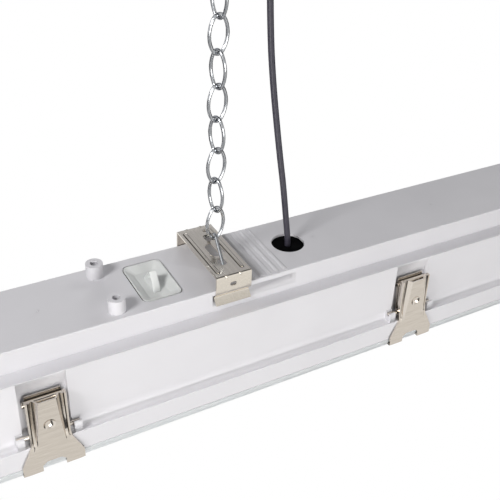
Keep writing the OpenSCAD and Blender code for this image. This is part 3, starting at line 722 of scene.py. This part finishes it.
@dataclass
class Studio:
    """The camera at the photograph's angle, soft lamps, grey cards for the metals and a plain pale floor."""

    eye: Vector = field(default_factory=lambda: Vector((-375.72, -411.25, 95.0)) * MM)
    right: Vector = field(default_factory=lambda: Vector((0.86269, -0.50239, 0.05807)))
    up: Vector = field(default_factory=lambda: Vector((0.22955, 0.49131, 0.84019)))
    lens: float = 58.416
    shift: Pair = (-0.06, -0.03)
    lamps_aim: tuple[float, float, float] = (-80, 0, -30)
    cards_middle: tuple[float, float, float] = (-60, 0, 0)
    cards_radius: float = 1.4
    floor_at: float = -1.9
    world_level: float = 0.22

    def camera(self) -> None:
        """Make the camera."""
        data = bpy.data.cameras.new("camera")
        data.lens = self.lens
        data.sensor_width = 36.0
        data.shift_x, data.shift_y = self.shift
        data.clip_start, data.clip_end = 0.01, 50.0
        back = self.right.cross(self.up).normalized()
        turn = Matrix((self.right, self.up, back)).transposed().to_4x4()
        turn.translation = self.eye
        camera = bpy.data.objects.new("camera", data)
        camera.matrix_world = turn
        bpy.context.scene.collection.objects.link(camera)
        bpy.context.scene.camera = camera

    def lamp(
        self, name: str, at: tuple[float, float, float], size: float, watts: float, colour: str,
        in_gloss: bool = True,
    ) -> None:
        """Add a square soft lamp that faces the light's middle.

        Args:
            name: the lamp's name.
            at: its place in metres.
            size: its side in metres.
            watts: its power.
            colour: its colour.
            in_gloss: whether bright metal mirrors it.
        """
        data = bpy.data.lights.new(name, "AREA")
        data.size = size
        data.energy = watts
        data.color = linear(colour)[:3]
        lamp = bpy.data.objects.new(name, data)
        aim = at_light(*self.lamps_aim) - Vector(at)
        lamp.location = at
        lamp.visible_glossy = in_gloss
        lamp.rotation_euler = aim.to_track_quat("-Z", "Y").to_euler()
        bpy.context.scene.collection.objects.link(lamp)

    def card(self, name: str, azimuths: Pair, elevations: Pair, grey: str) -> None:
        """Bend a grey card round the light that only gloss sees, so that bright metal has something to show.

        Args:
            name: the card's name.
            azimuths: its reach round the light, in degrees from the light's right end.
            elevations: its reach below and above the light, in degrees.
            grey: its colour.
        """
        bm = bmesh.new()
        middle = at_light(*self.cards_middle)
        place = Matrix.Translation(middle)
        bmesh.ops.create_uvsphere(bm, u_segments=72, v_segments=36, radius=self.cards_radius, matrix=place)
        outside = []
        for face in bm.faces:
            way = face.calc_center_median() - middle
            azimuth = math.degrees(math.atan2(way.y, way.x))
            elevation = math.degrees(math.asin(way.z / way.length))
            turned = any(azimuths[0] <= azimuth + turn <= azimuths[1] for turn in (0, 360))
            if not (turned and elevations[0] <= elevation <= elevations[1]):
                outside.append(face)
        bmesh.ops.delete(bm, geom=outside, context="FACES")
        card = new_object(bm, name)
        for ray in ("camera", "diffuse", "transmission", "shadow", "volume_scatter"):
            setattr(card, "visible_" + ray, False)
        paint = new_material(name + "_paint")
        glow = add_node(paint.node_tree, "ShaderNodeEmission", inputs={"Color": linear(grey), "Strength": 1.0})
        add_node(paint.node_tree, "ShaderNodeOutputMaterial", inputs={0: glow.outputs[0]})
        card.data.materials.append(paint)

    def white_for_eye(self, tree: Tree, dull: Node, white: Node) -> Socket:
        """Show plain white to the camera, gloss and glass, and a dull surface to everything else.

        Args:
            tree: the node tree to add to.
            dull: the shader that lights the object.
            white: the shader that the eye sees.

        Returns:
            The mixed shader's output.
        """
        path = add_node(tree, "ShaderNodeLightPath")
        seen = path.outputs["Is Camera Ray"]
        for ray in ("Is Glossy Ray", "Is Transmission Ray"):
            either = add_node(tree, "ShaderNodeMath", {"operation": "MAXIMUM"}, {0: seen, 1: path.outputs[ray]})
            seen = either.outputs[0]
        mixed = add_node(tree, "ShaderNodeMixShader", inputs={0: seen, 1: dull.outputs[0], 2: white.outputs[0]})
        return mixed.outputs[0]

    def background(self) -> None:
        """Make the world and the floor."""
        world = bpy.data.worlds.new("studio_world")
        bpy.context.scene.world = world
        world.use_nodes = True
        tree = world.node_tree
        tree.nodes.clear()
        dull = add_node(tree, "ShaderNodeBackground", inputs={0: linear("#f5f5f6"), 1: self.world_level})
        white = add_node(tree, "ShaderNodeBackground", inputs={0: (1, 1, 1, 1), 1: BACKGROUND_WHITE})
        add_node(tree, "ShaderNodeOutputWorld", inputs={0: self.white_for_eye(tree, dull, white)})
        bm = bmesh.new()
        place = Matrix.Translation((0, 0, self.floor_at))
        bmesh.ops.create_grid(bm, x_segments=1, y_segments=1, size=6.0, matrix=place)
        floor = new_object(bm, "floor")
        paint = new_material("pale_floor")
        tree = paint.node_tree
        dull = add_node(tree, "ShaderNodeBsdfDiffuse", inputs={"Color": linear("#e4e4e4")})
        white = add_node(tree, "ShaderNodeEmission", inputs={0: (1, 1, 1, 1), 1: BACKGROUND_WHITE})
        add_node(tree, "ShaderNodeOutputMaterial", inputs={0: self.white_for_eye(tree, dull, white)})
        floor.data.materials.append(paint)

    def build(self) -> None:
        """Make the camera, the lamps, the cards and the background."""
        self.camera()
        self.lamp("front", (-0.35, -1.9, -0.15), 0.9, 24.0, "#fffefb")
        self.lamp("left", (-0.95, -0.3, 0.42), 0.3, 6.8, "#fffefd")
        self.lamp("low_left", (-1.0, -0.65, -0.95), 1.3, 6.0, "#fffefb", in_gloss=False)
        self.lamp("upper_right", (1.3, 0.7, 0.9), 0.5, 4.5, "#ffffff")
        self.lamp("behind", (0.5, 1.9, -0.1), 0.9, 16.0, "#ffffff")
        self.card("card_low_front", (-105, -28), (-62, -5), "#eeedeb")
        self.card("card_low_near", (-136, -108), (-70, 10), "#3a3a3c")
        self.card("card_low_back", (-28, 104), (-80, 2), "#262628")
        self.card("card_low_left", (136, 188), (-62, 2), "#2e2e30")
        self.card("card_high_back", (36, 150), (2, 54), "#b0b1b5")
        self.card("card_high_right", (2, 36), (2, 54), "#7c7d82")
        self.card("card_high_front", (-112, 2), (20, 54), "#d8d7d5")
        self.card("card_top", (-112, 150), (54, 90), "#1c1c1e")
        self.background()
        bpy.context.scene.view_settings.view_transform = "Standard"


@dataclass
class SupplyCable:
    """A flat two-core cable that leaves the ceiling outlet and goes through the grommet to the terminal block."""

    width: float = 4.6
    thickness: float = 3.2
    crease: float = 0.16
    # The route's points, repeated from the part's source, from the terminal block up to the outlet.
    points: tuple = (
        (-87, 0, -38), (-87, 0, -20), (-87, 0, -4), (-87.6, 0.4, 6), (-89, 1.6, 20), (-91.5, 4, 45),
        (-94, 7, 68), (-96.2, 9.8, 90), (-98.6, 12.6, 115), (-100.6, 14.8, 140), (-102, 16.2, 165),
        (-102.8, 16.9, 184), (-103, 17, 194),
    )
    # The route's point just over the grommet.
    held_from: int = 3

    def route(self, steps: int = 3) -> list[Vector]:
        """Smooth the centre line.

        Args:
            steps: spans between two of the route's points.

        Returns:
            The centre line from the outlet down, in metres.
        """
        p = [at_light(*q) for q in self.points]
        out = []
        for i in range((len(p) - 1) * steps + 1):
            k = min(i // steps, len(p) - 2)
            f = i / steps - k
            a, b, c, d = p[max(k - 1, 0)], p[k], p[k + 1], p[min(k + 2, len(p) - 1)]
            bend = f * f * (2 * a - 5 * b + 4 * c - d) + f**3 * (3 * b - a - 3 * c + d)
            out.append(0.5 * (2 * b + f * (c - a) + bend))
        return out[::-1]

    def build(self) -> None:
        path = self.route()
        bm = bmesh.new()
        sweep(bm, path, (self.width / 2, self.thickness / 2), 24, ALONG, crease=self.crease)
        cable = finished(bm, "flat_supply_cable", "", SHEATH, ["supply_cable"], sharp=60)
        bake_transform(cable)


@dataclass
class Housing:
    """The moulded housing with its plugs, seals and diffuser."""

    # Length, width, corner radius, depth and cut corner of each stepped outer edge.
    steps: tuple = ((643.8, 60.0, 6.0, 0.0, 0.8), (665.6, 81.8, 10.0, 16.6, 0.4), (680.0, 96.2, 14.0, 63.6, 0.4))
    # How near a point has to be to a cut's lower edge, in height and from its corner's arc, to belong to it.
    near_cut: Pair = (0.02, 0.2)
    # How far such a point goes out and up, as a share of the cut's size: to the middle of a rounded edge.
    push: float = 0.707
    # Each other moulding, the rounding of its edges and its finish.
    # The grommet's near-black, sheenless rubber is painted shade inside the cable hole.
    mouldings: tuple = (
        ("diffuser", 0.5, OPAL), ("end_plugs", 0.4, FITTING_PLASTIC), ("cable_grommet", 0.3, SHADE_BLACK_RUBBER),
        ("rim_gasket", 0.4, SEAL_RUBBER),
    )

    def shell(self) -> None:
        """Bring the cut outer edges of the housing out to rounded ones, and dress it."""
        bm = node_copy("housing")
        for length, width, corner, depth, cut in self.steps:
            for v in bm.verts:
                place = (v.co - LIGHT_TOP) / MM
                beyond_x = max(abs(place.x) - length / 2 + corner, 0)
                beyond_y = max(abs(place.y) - width / 2 + corner, 0)
                out = Vector((math.copysign(beyond_x, place.x), math.copysign(beyond_y, place.y), 0))
                low = abs(place.z + depth + cut) < self.near_cut[0]
                if low and abs(out.length - corner + cut) < self.near_cut[1]:
                    v.co += (out.normalized() + UP) * cut * self.push * MM
        join_flats(bm)
        bm.edges.index_update()
        over_top = LIGHT_TOP.z + 1.0 * MM
        posts = [e.index for e in bm.edges if any(v.co.z > over_top for f in e.link_faces for v in f.verts)]
        piece = finished(bm, "housing_moulding", "luminaire", HOUSING_PLASTIC, ["housing"], 50, even_flats=True)
        for index in posts:
            piece.data.edges[index].use_edge_sharp = True

    def closures(self) -> None:
        """Dress the diffuser, end plugs, grommet and gasket."""
        for node, rounding, finish in self.mouldings:
            dress_node(node, "moulding", "luminaire", finish, rounding, angle=30)

    def build(self) -> None:
        """Make every moulded piece of the housing."""
        self.shell()
        self.closures()


@dataclass
class AccessPlug:
    """A shallow dish with sloping sides and an upright finger tab, over its flat seal."""

    length: float = 26.8
    width: float = 41.8
    corner: float = 4.4
    height: float = 5.2
    rim: float = 0.7
    depth: float = 3.6
    slope: float = 5.6
    at_x: float = -192.0
    tab_height: float = 7.9
    tab_length: float = 18.4
    tab_width: float = 4.8
    tab_hole: float = 0.9
    neck: tuple[float, float, float] = (21.7, 36.7, 4.0)
    seal_past: float = 0.4
    seal_wall: float = 0.6
    seal_height: float = 4.5

    def dish(self, bm: Mesh) -> None:
        """Make the dish: a thin rim and sides that run down in three steps to a flat floor.

        Args:
            bm: the plug's mesh.
        """
        size, bottom = (self.length, self.width), at_light(self.at_x, 0, -self.height)
        top = rounded_plate(bm, size, self.corner, bottom, self.height)
        bmesh.ops.inset_region(bm, faces=top, thickness=self.rim * MM, depth=0)
        space = Matrix.Translation(-at_light(self.at_x, 0, 0))
        inner = [self.length - 2 * self.rim, self.width - 2 * self.rim]
        for run, fall in ((0.1, 0.12), (0.8, 0.76), (0.1, 0.12)):
            top, verts = draw_faces(bm, top)
            step = [side - 2 * self.slope * run for side in inner]
            bmesh.ops.scale(bm, vec=(step[0] / inner[0], step[1] / inner[1], 1), verts=verts, space=space)
            bmesh.ops.translate(bm, vec=UP * -self.depth * fall * MM, verts=verts)
            inner = step

    def tab(self, bm: Mesh) -> None:
        """Make the tab: a blunt triangle seen from its side, with a small round hole through it.

        Args:
            bm: the plug's mesh.
        """
        near, far, low = -self.tab_length / 2 - 0.4, self.tab_length / 2 - 0.2, -self.depth
        outline = (
            (near, low - 0.2), (near, low), (-2, self.tab_height - 0.6), (-1.2, self.tab_height),
            (-0.4, self.tab_height - 0.5), (far, low), (far, low - 0.2),
        )
        left = self.at_x - self.tab_width / 2
        edges = loop(bm, [at_light(left, y, z) for y, z in outline])
        hole_at = at_light(left, -1.2, self.tab_height / 2)
        edges += loop(bm, arc(hole_at, self.tab_hole, 0, 360, 16, ACROSS, UP)[:-1])
        thicken(bm, fill(bm, edges), ALONG * self.tab_width * MM)

    def gap_shade_seal(self) -> None:
        """Make the thin black wall of rubber that stands round the dish: a rubber seal, kept near pure black so
        that it also stands in as painted shade in the gap round the plug.
        """
        bm = bmesh.new()
        size = (self.length + 2 * self.seal_past, self.width + 2 * self.seal_past)
        corner, bottom = self.corner + self.seal_past, at_light(self.at_x, 0, -self.height)
        top = rounded_plate(bm, size, corner, bottom, self.seal_height)
        bmesh.ops.inset_region(bm, faces=top, thickness=self.seal_wall * MM, depth=0)
        verts = draw_faces(bm, top)[1]
        bmesh.ops.translate(bm, vec=UP * (0.1 - self.seal_height) * MM, verts=verts)
        bmesh.ops.recalc_face_normals(bm, faces=bm.faces)
        finished(bm, "access_plug_edge_seal", "plug", SHADE_BLACK_RUBBER, sharp=50)

    def build(self) -> None:
        """Make the plug on its neck, its tab and its seals."""
        bm = bmesh.new()
        self.dish(bm)
        self.tab(bm)
        length, width, reach = self.neck
        rounded_plate(bm, (length, width), 3, at_light(self.at_x, 0, -self.height - reach), reach + 0.2)
        bmesh.ops.recalc_face_normals(bm, faces=bm.faces)
        soften(bm, 0.2, angle=35)
        finished(bm, "access_plug_dish", "plug", PLUG_PLASTIC, ["access_plug"], sharp=50)
        self.gap_shade_seal()
        SEAL_RUBBER.put_on(bpy.data.objects["plug_seal"])


@dataclass
class Clip:
    """An over-centre clip: a pressed lever, its inner link, a hollow rivet and the fixed axle."""

    number: int
    sheet: float = 1.0
    face_y: float = 48.0
    pivot: Pair = (40.6, -34.5)
    ear_x: float = 12.5
    ear_radius: float = 2.7
    # The ear's corners above and below its round end: how far back from the lever's face, and the height.
    ear_top: Pair = (3.2, -29.6)
    ear_low: tuple[Pair, Pair] = ((4.4, -47.0), (3.2, -52.0))
    latch_pitch: float = 280.0
    cup_z: float = -47.5
    cup_radius: float = 3.9
    cup_rings: tuple = ((0.84, 0.63), (0.65, 1.14), (0.45, 1.51), (0.23, 1.74))
    # Half of each section of the lever from the top down: its height, then the distance from the middle and
    # the height over the flat face of each fold.
    sections: tuple = (
        (-28.6, (5.5, 1.5), (8.3, -2.6), (8.9, -2.4), (10.3, -0.9),
         (10.8, -1.7), (11.2, -0.9), (12.5, -1.0), (12.5, -3.8)),
        (-45.0, (6.7, 1.5), (8.8, -1.7), (9.4, -1.5), (10.5, -0.7),
         (10.9, -1.4), (11.3, -0.7), (12.5, -0.8), (12.5, -3.6)),
        (-56.0, (7.9, 1.5), (9.1, -0.5), (9.6, -0.3), (10.6, -0.1),
         (11.0, -0.8), (11.4, -0.1), (12.5, -0.3), (12.5, -2.2)),
        (-60.0, (8.4, 1.6), (9.0, 0.7), (9.6, 0.7), (10.6, 0.7),
         (11.0, 0.1), (11.5, 0.7), (12.5, 0.5), (12.5, -1.2)),
        (-63.5, (8.7, 1.9), (9.1, 1.7), (9.8, 1.7), (10.8, 1.6),
         (11.3, 1.3), (11.8, 1.5), (12.9, 1.3), (13.1, -0.2)),
        (-67.5, (8.6, 2.3), (9.3, 2.3), (10.2, 2.3), (11.4, 2.3),
         (12.2, 2.2), (13.0, 2.2), (15.0, 2.0), (15.2, 0.8)),
        (-76.8, (4.6, 2.5), (7.4, 2.5), (9.4, 2.5), (11.6, 2.5),
         (13.6, 2.5), (15.8, 2.5), (19.4, 2.3), (19.6, 1.2)),
    )
    arch_drop: Pair = (0.0, 2.6)
    toe_z: float = -83.9
    toe_hook: float = 4.4

    @property
    def side(self) -> Side:
        """Clips 1 to 3 are on the front, 4 to 6 on the back."""
        return Side.BACK if self.number > 3 else Side.FRONT

    def place(self, x: float, out: float, z: float) -> Vector:
        """Turn clip millimetres, with out measured from the light's middle plane, into metres."""
        middle = self.latch_pitch * ((self.number - 1) % 3 - 1)
        return at_light(middle + x, self.side.value * out, z)

    def sheet_row(self, z: float, half: Sequence[Pair], drop: Sequence[float] = ()) -> list[Vector]:
        """Lay out one section of the lever's sheet.

        Args:
            z: the section's height.
            half: distance from the middle and height over the flat face, from the middle outwards.
            drop: how far the first points of the half hang under that height.

        Returns:
            The section's points from its left edge to its right.
        """
        hang = list(drop) + [0.0] * (len(half) - len(drop))
        points = [(x, self.face_y + proud, z - low) for (x, proud), low in zip(half, hang)]
        return [self.place(-x, out, h) for x, out, h in reversed(points)] + [self.place(*p) for p in points]

    def pressed_sheet(self, bm: Mesh) -> None:
        """Press the sheet: a proud middle panel, deep valleys, side folds, and two feet with hooked toes.

        Args:
            bm: the lever's mesh.
        """
        first, *lower, last = self.sections
        row = [bm.verts.new(p) for p in self.sheet_row(first[0], first[1:])]
        rows = [row]
        for z, *half in lower:
            row = draw_row(bm, row, self.sheet_row(z, half))
            rows.append(row)
        row = draw_row(bm, row, self.sheet_row(last[0], last[1:], self.arch_drop))
        self.cup(bm, [r[7:9] for r in rows[:3]])
        across = last[2:]
        for foot, sign, points in ((row[:7], -1, across[::-1]), (row[9:], 1, across)):
            low = [self.place(sign * x, self.face_y + proud, self.toe_z) for x, proud in points]
            toe = draw_row(bm, foot, low)
            inwards = ACROSS * -self.side.value * self.toe_hook * MM
            draw_row(bm, toe, [v.co + inwards for v in toe])

    def cup(self, bm: Mesh, panel: Sequence[Sequence[Vert]]) -> None:
        """Press the round cup into the middle panel.

        Args:
            bm: the lever's mesh.
            panel: the panel's two edge points in each of its first three sections.
        """
        bmesh.ops.delete(bm, geom=[bm.edges.get(panel[1])], context="EDGES")
        border = [bm.edges.get(pair) or bm.edges.new(pair) for pair in (panel[0], panel[2])]
        border += [bm.edges.get((a[i], b[i])) for a, b in zip(panel, panel[1:]) for i in (0, 1)]
        centre = self.place(0, self.face_y + self.sections[0][1][1], self.cup_z)
        rim = loop(bm, arc(centre, self.cup_radius, 0, 360, 24, ALONG, UP)[:-1])
        fill(bm, border + rim)
        for share, depth in self.cup_rings:
            rim, verts = draw_rim(bm, rim)
            for v in verts:
                flat = v.co - centre
                flat.y = 0
                inwards = ACROSS * self.side.value * depth
                v.co = centre + (flat.normalized() * self.cup_radius * share - inwards) * MM
        bmesh.ops.contextual_create(bm, geom=rim)

    def ears(self, bm: Mesh) -> None:
        """Add the two ears that hold the rivet.

        Args:
            bm: the lever's mesh.
        """
        y, z = self.pivot
        turns = [math.radians(90 + 22.5 * i) for i in range(9)]
        rim = [(y + self.ear_radius * math.cos(a), z + self.ear_radius * math.sin(a)) for a in turns]
        top, *low = [(self.face_y - back, height) for back, height in (self.ear_top, *self.ear_low)]
        outline = [top, *rim, *low]
        for s in (-1, 1):
            corners = [bm.verts.new(self.place(s * self.ear_x, *point)) for point in outline]
            far = thicken(bm, [bm.faces.new(corners)], ALONG * -s * self.sheet * MM)[1]
            island = dict.fromkeys(f for v in far + corners for f in v.link_faces)
            bmesh.ops.recalc_face_normals(bm, faces=list(island))

    def lever(self) -> None:
        """Make the lever from pressed sheet, with ears round the rivet."""
        bm = bmesh.new()
        self.pressed_sheet(bm)
        bmesh.ops.recalc_face_normals(bm, faces=bm.faces)
        big = max(bm.faces, key=lambda f: f.calc_area())
        if big.normal.y * self.side.value < 0:
            bmesh.ops.reverse_faces(bm, faces=bm.faces)
        bmesh.ops.solidify(bm, geom=bm.faces[:], thickness=self.sheet * MM)
        bmesh.ops.recalc_face_normals(bm, faces=bm.faces)
        self.ears(bm)
        body = f"latch_lever_{self.number}"
        finished(bm, f"clip_lever_{self.number}", body, CLIP_STEEL, [body], sharp=30)

    def build(self) -> None:
        """Make the lever and dress the link and the rivet."""
        self.lever()
        body = f"latch_link_{self.number}"
        for node in (body, f"latch_rivet_{self.number}"):
            dress_node(node, "steel", body, CLIP_STEEL)


@dataclass
class Hanger:
    """A sliding bracket with its wire hook, chain and ceiling hook."""

    end: End
    links: int = 8
    link_wire: float = 2.2
    link_half_length: float = 11.95
    link_half_width: float = 6.9
    link_end_radius: float = 4.5
    first_link: float = 32.2
    pitch: float = 21.6
    twist: float = 12.0
    weld_swell: float = 0.09
    hook_wire: float = 2.4
    hook_bend: float = 3.6
    hook_foot: float = 8.7
    peak: float = 22.6
    slope: float = 39.0
    turn: float = -7.5
    bracket_offset: float = 1.2
    bracket_width: float = 26.0
    bracket_height: float = 11.0
    bracket_out: float = 31.5
    bracket_sheet: float = 1.0
    bracket_bend: float = 1.1
    eye_radius: float = 5.0
    eye_run: float = 3.7
    bead_width: float = 3.2
    bead_length: float = 54.0
    beads_at: Pair = (-9.2, 8.6)
    # How much narrower each ring of a bead is than its slot, and its height over the top.
    bead_rings: tuple = ((0.8, -0.5), (1.2, 0.4), (2.0, 0.65))
    # The slots through the top: place, width and length.
    slots: tuple = ((-0.84, -15.0, 5.2, 8.4), (3.24, 15.0, 5.2, 8.4), (5.2, 24.2, 3.2, 3.21))
    # The slot through each side: place, width and length.
    side_slot: tuple[float, float, float, float] = (-0.5, 3.7, 3.0, 4.8)
    # The side's bends below its plate, which snap into the groove: how far out past the plate, and the height.
    snap: tuple = ((-0.25, -2.9), (-3.2, -6.0), (-3.4, -6.5), (-3.2, -7.0), (0.6, -10.8), (0.6, -11.2))
    plate_low: float = -2.4
    pips_at: Pair = (-5.6, 4.7)
    pip_radius: float = 1.5
    plate_rounding: float = 0.3

    @property
    def x(self) -> float:
        """Place of the chain along the light, in millimetres from the light's middle."""
        return self.end.value * HOOK_PITCH / 2 - LIGHT_TOP.x / MM

    def name(self, word: str) -> str:
        """Name of a piece or solid at this end."""
        return f"{word}_{self.end.name.lower()}"

    def at_bracket(self, x: float, y: float, z: float) -> Vector:
        """Turn millimetres from the bracket's middle into metres in the ceiling's frame."""
        return at_light(self.x - self.bracket_offset + x, y, z)

    def slot(self, middle: Vector, width: float, length: float, along: Vector, side: Vector) -> list[Vector]:
        """Lay out a round-ended slot.

        Args:
            middle: its middle, in metres.
            width: its width in millimetres.
            length: its whole length in millimetres.
            along: unit vector along it.
            side: unit vector across it.

        Returns:
            The points round it.
        """
        run = along * (length - width) / 2 * MM
        far = arc(middle + run, width / 2, 0, 180, 8, side, along)
        return far + arc(middle - run, width / 2, 180, 360, 8, side, along)

    def eye(self) -> list[list[Vector]]:
        """Lay out the round-ended eye in the top.

        Returns:
            The points round its two parts, left and right of the strip that the hook hangs on.
        """
        r, h, run = self.eye_radius, self.bracket_height, self.eye_run
        near, far = self.at_bracket(0.9, -run, h), self.at_bracket(0.9, run, h)
        left = arc(far, r, 90, 180, 8, ALONG, ACROSS) + arc(near, r, 180, 270, 8, ALONG, ACROSS)
        left += [self.at_bracket(2.0, y, h) for y in (-8.65, 8.65)]
        near, far = self.at_bracket(1.3, -run, h), self.at_bracket(1.3, run, h)
        right = arc(near, r, -42, 0, 4, ALONG, ACROSS) + arc(far, r, 0, 42, 4, ALONG, ACROSS)
        return [left, right]

    def bead(self, bm: Mesh, rim: list, middle: Vector) -> None:
        """Press a stiffening bead up out of a slot's rim, with a fine moat round it.

        Args:
            bm: the bracket's mesh.
            rim: the slot's edges.
            middle: the slot's middle, in metres.
        """
        width, length = self.bead_width, self.bead_length
        for less, z in self.bead_rings:
            rim, verts = draw_rim(bm, rim)
            scale = ((self.bead_width - less) / width, (self.bead_length - less) / length, 1)
            bmesh.ops.scale(bm, vec=scale, verts=verts, space=Matrix.Translation(-middle))
            for v in verts:
                v.co.z = middle.z + z * MM
            width, length = self.bead_width - less, self.bead_length - less
        bmesh.ops.contextual_create(bm, geom=rim)

    def bracket_top(self, bm: Mesh) -> list:
        """Make the bracket's flat top with its eye, its slots and two beads.

        Args:
            bm: the mesh to add to.

        Returns:
            The top's corners, the two at the front first.
        """
        h, half, reach = self.bracket_height, self.bracket_width / 2, self.bracket_out - self.bracket_bend
        square = ((-half, -reach), (half, -reach), (half, reach), (-half, reach))
        corners = [bm.verts.new(self.at_bracket(x, y, h)) for x, y in square]
        edges = [bm.edges.new((a, b)) for a, b in zip(corners, corners[1:] + corners[:1])]
        for points in self.eye():
            edges += loop(bm, points)
        for x, y, width, length in self.slots:
            edges += loop(bm, self.slot(self.at_bracket(x, y, h), width, length, ACROSS, ALONG))
        beads = []
        for x in self.beads_at:
            middle = self.at_bracket(x, 0, h)
            beads.append((loop(bm, self.slot(middle, self.bead_width, self.bead_length, ACROSS, ALONG)), middle))
        fill(bm, edges + beads[0][0] + beads[1][0])
        for rim, middle in beads:
            self.bead(bm, rim, middle)
        return corners

    def bracket_side(self, bm: Mesh, side: Side, fold: Sequence[Vert]) -> None:
        """Fold one side down from the top, pierce it, and bend it in and out again.

        Args:
            bm: the bracket's mesh.
            side: the side of the light.
            fold: the two corners that it hangs from.
        """
        bend, out, s = self.bracket_bend, self.bracket_out, side.value
        xs = (s * self.bracket_width / 2, -s * self.bracket_width / 2)
        top = fold
        for turn in (math.radians(30), math.radians(60), math.radians(90)):
            y, z = out - bend + bend * math.sin(turn), self.bracket_height - bend + bend * math.cos(turn)
            top = draw_row(bm, top, [self.at_bracket(x, s * y, z) for x in xs])
        row = draw_row(bm, top, [self.at_bracket(x, s * out, self.plate_low) for x in xs])
        plate = next(f for f in top[0].link_faces if row[0] in f.verts)
        bmesh.ops.delete(bm, geom=[plate], context="FACES_ONLY")
        edges = [bm.edges.get(pair) for pair in (top, row, (top[0], row[0]), (top[1], row[1]))]
        x, z, width, length = self.side_slot
        edges += loop(bm, self.slot(self.at_bracket(x, s * out, z), width, length, ALONG, UP))
        fill(bm, edges)
        for past, z in self.snap:
            row = draw_row(bm, row, [self.at_bracket(x, s * (out + past), z) for x in xs])

    def bracket(self) -> None:
        """Make the bracket from one sheet, with four pips pressed out of its folds."""
        bm = bmesh.new()
        corners = self.bracket_top(bm)
        self.bracket_side(bm, Side.FRONT, corners[:2])
        self.bracket_side(bm, Side.BACK, corners[2:])
        bmesh.ops.recalc_face_normals(bm, faces=bm.faces)
        if max(bm.faces, key=lambda f: f.calc_center_median().z).normal.z < 0:
            bmesh.ops.reverse_faces(bm, faces=bm.faces)
        bmesh.ops.solidify(bm, geom=bm.faces[:], thickness=self.bracket_sheet * MM)
        for x in self.pips_at:
            for side in Side:
                place = self.at_bracket(x, side.value * (self.bracket_out - 1.1), self.bracket_height - 1.15)
                pip = {"u_segments": 14, "v_segments": 8, "radius": self.pip_radius * MM}
                bmesh.ops.create_uvsphere(bm, matrix=Matrix.Translation(place), **pip)
        finished(bm, self.name("folded_bracket"), "suspension", BRACKET_STEEL, [self.name("bracket")], sharp=33)

    def wire_hook(self) -> None:
        """Bend the peaked wire hook that joins the chain to the bracket."""
        slope, turn = math.radians(self.slope), math.radians(self.turn)
        bend, low = self.hook_bend, self.hook_foot
        side = Vector((-math.sin(turn), math.cos(turn), 0))
        base = at_light(self.x, 0, 0)
        foot = bend * math.sin(slope) + (self.peak - bend + bend * math.cos(slope) - low) / math.tan(slope)
        ends = [(foot + 4, low), (foot + 1.6, low), (foot + 0.6, low + 0.15), (foot - 0.8, low + 0.8)]
        path = [base + (side * -y + UP * z) * MM for y, z in ends]
        top = base + UP * (self.peak - bend) * MM
        path += arc(top, bend, 90 + self.slope, 90 - self.slope, 8, side, UP)
        path += [base + (side * y + UP * z) * MM for y, z in reversed(ends)]
        bm = bmesh.new()
        sweep(bm, path, (self.hook_wire / 2, self.hook_wire / 2), 14, ALONG)
        finished(bm, self.name("peaked_wire_hook"), "suspension", ZINC, [self.name("chain_hook")], sharp=50)

    def link_path(self, middle: Vector, wide: Vector) -> list[Vector]:
        """Lay out one oval link: two slack sides and two tight ends.

        Args:
            middle: the link's middle, in metres.
            wide: unit vector across the link.

        Returns:
            The link's closed centre line.
        """
        k, r = self.link_half_width, self.link_end_radius
        e = self.link_half_length - r
        side_r = (k * k + e * e - r * r) / (2 * (k - r))
        a = math.degrees(math.atan2(e, side_r - k))
        path: list[Vector] = []
        for offset, radius, start, span in (
            (-wide * (side_r - k), side_r, -a, 2 * a), (UP * e, r, a, 180 - 2 * a),
            (wide * (side_r - k), side_r, 180 - a, 2 * a), (-UP * e, r, 180 + a, 180 - 2 * a),
        ):
            path += arc(middle + offset * MM, radius, start, start + span, 8, wide, UP)[:-1]
        return path

    def chain(self) -> None:
        """Make the chain's oval links, each with the small swelling of its butt weld."""
        bm = bmesh.new()
        half = (self.link_wire / 2, self.link_wire / 2)
        for i in range(self.links):
            turn = math.radians(self.twist + 90 * (i % 2))
            wide = Vector((math.cos(turn), math.sin(turn), 0))
            middle = at_light(self.x, 0, self.first_link + self.pitch * i)
            sweep(bm, self.link_path(middle, wide), half, 12, wide.cross(-UP), closed=True)
            weld = middle + wide * self.link_half_width * MM
            for v in bm.verts:
                off = v.co - weld
                if abs(off.z) < 0.7 * MM and off.length < 3 * MM:
                    v.co += Vector((off.x, off.y, 0)) * self.weld_swell
        finished(bm, self.name("oval_link_chain"), "suspension", ZINC, [self.name("chain")], sharp=60)

    def build(self) -> None:
        """Make everything between the ceiling and the housing at this end."""
        self.bracket()
        self.wire_hook()
        self.chain()
        dress_node(self.name("ceiling_hook"), "steel", "ceiling", ZINC, self.plate_rounding, sharp=40)


@dataclass
class Gear:
    """The tray, driver, boards and terminals inside the housing, and the last fittings outside it."""

    rounding: float = 0.25
    inside: tuple = (
        (TRAY_PAINT, "gear_tray"), (CASE_PLASTIC, "driver"), (BLOCK_PLASTIC, "terminal_block"),
        (BOARD_MASK, "led_boards"), (PHOSPHOR, "leds"), (ZINC, "tray_screws"), (ZINC, "driver_screws"),
    )
    outside: tuple = (("latch_axles", "luminaire", CLIP_STEEL), ("cable_outlet", "ceiling", FITTING_PLASTIC))

    def build(self) -> None:
        """Dress the pieces inside, and the axles and the outlet outside."""
        for finish, node in self.inside:
            finish.put_on(bpy.data.objects[node])
        for node, body, finish in self.outside:
            dress_node(node, "finished", body, finish, self.rounding)


def main() -> None:
    """Build the dressed light, piece by piece."""
    logging.basicConfig(level=logging.INFO, format="%(name)s: %(message)s")
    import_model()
    Studio().build()
    SupplyCable().build()
    Housing().build()
    AccessPlug().build()
    for number in range(1, 7):
        Clip(number).build()
    for end in End:
        Hanger(end).build()
    Gear().build()


if __name__ == "__main__":
    main()
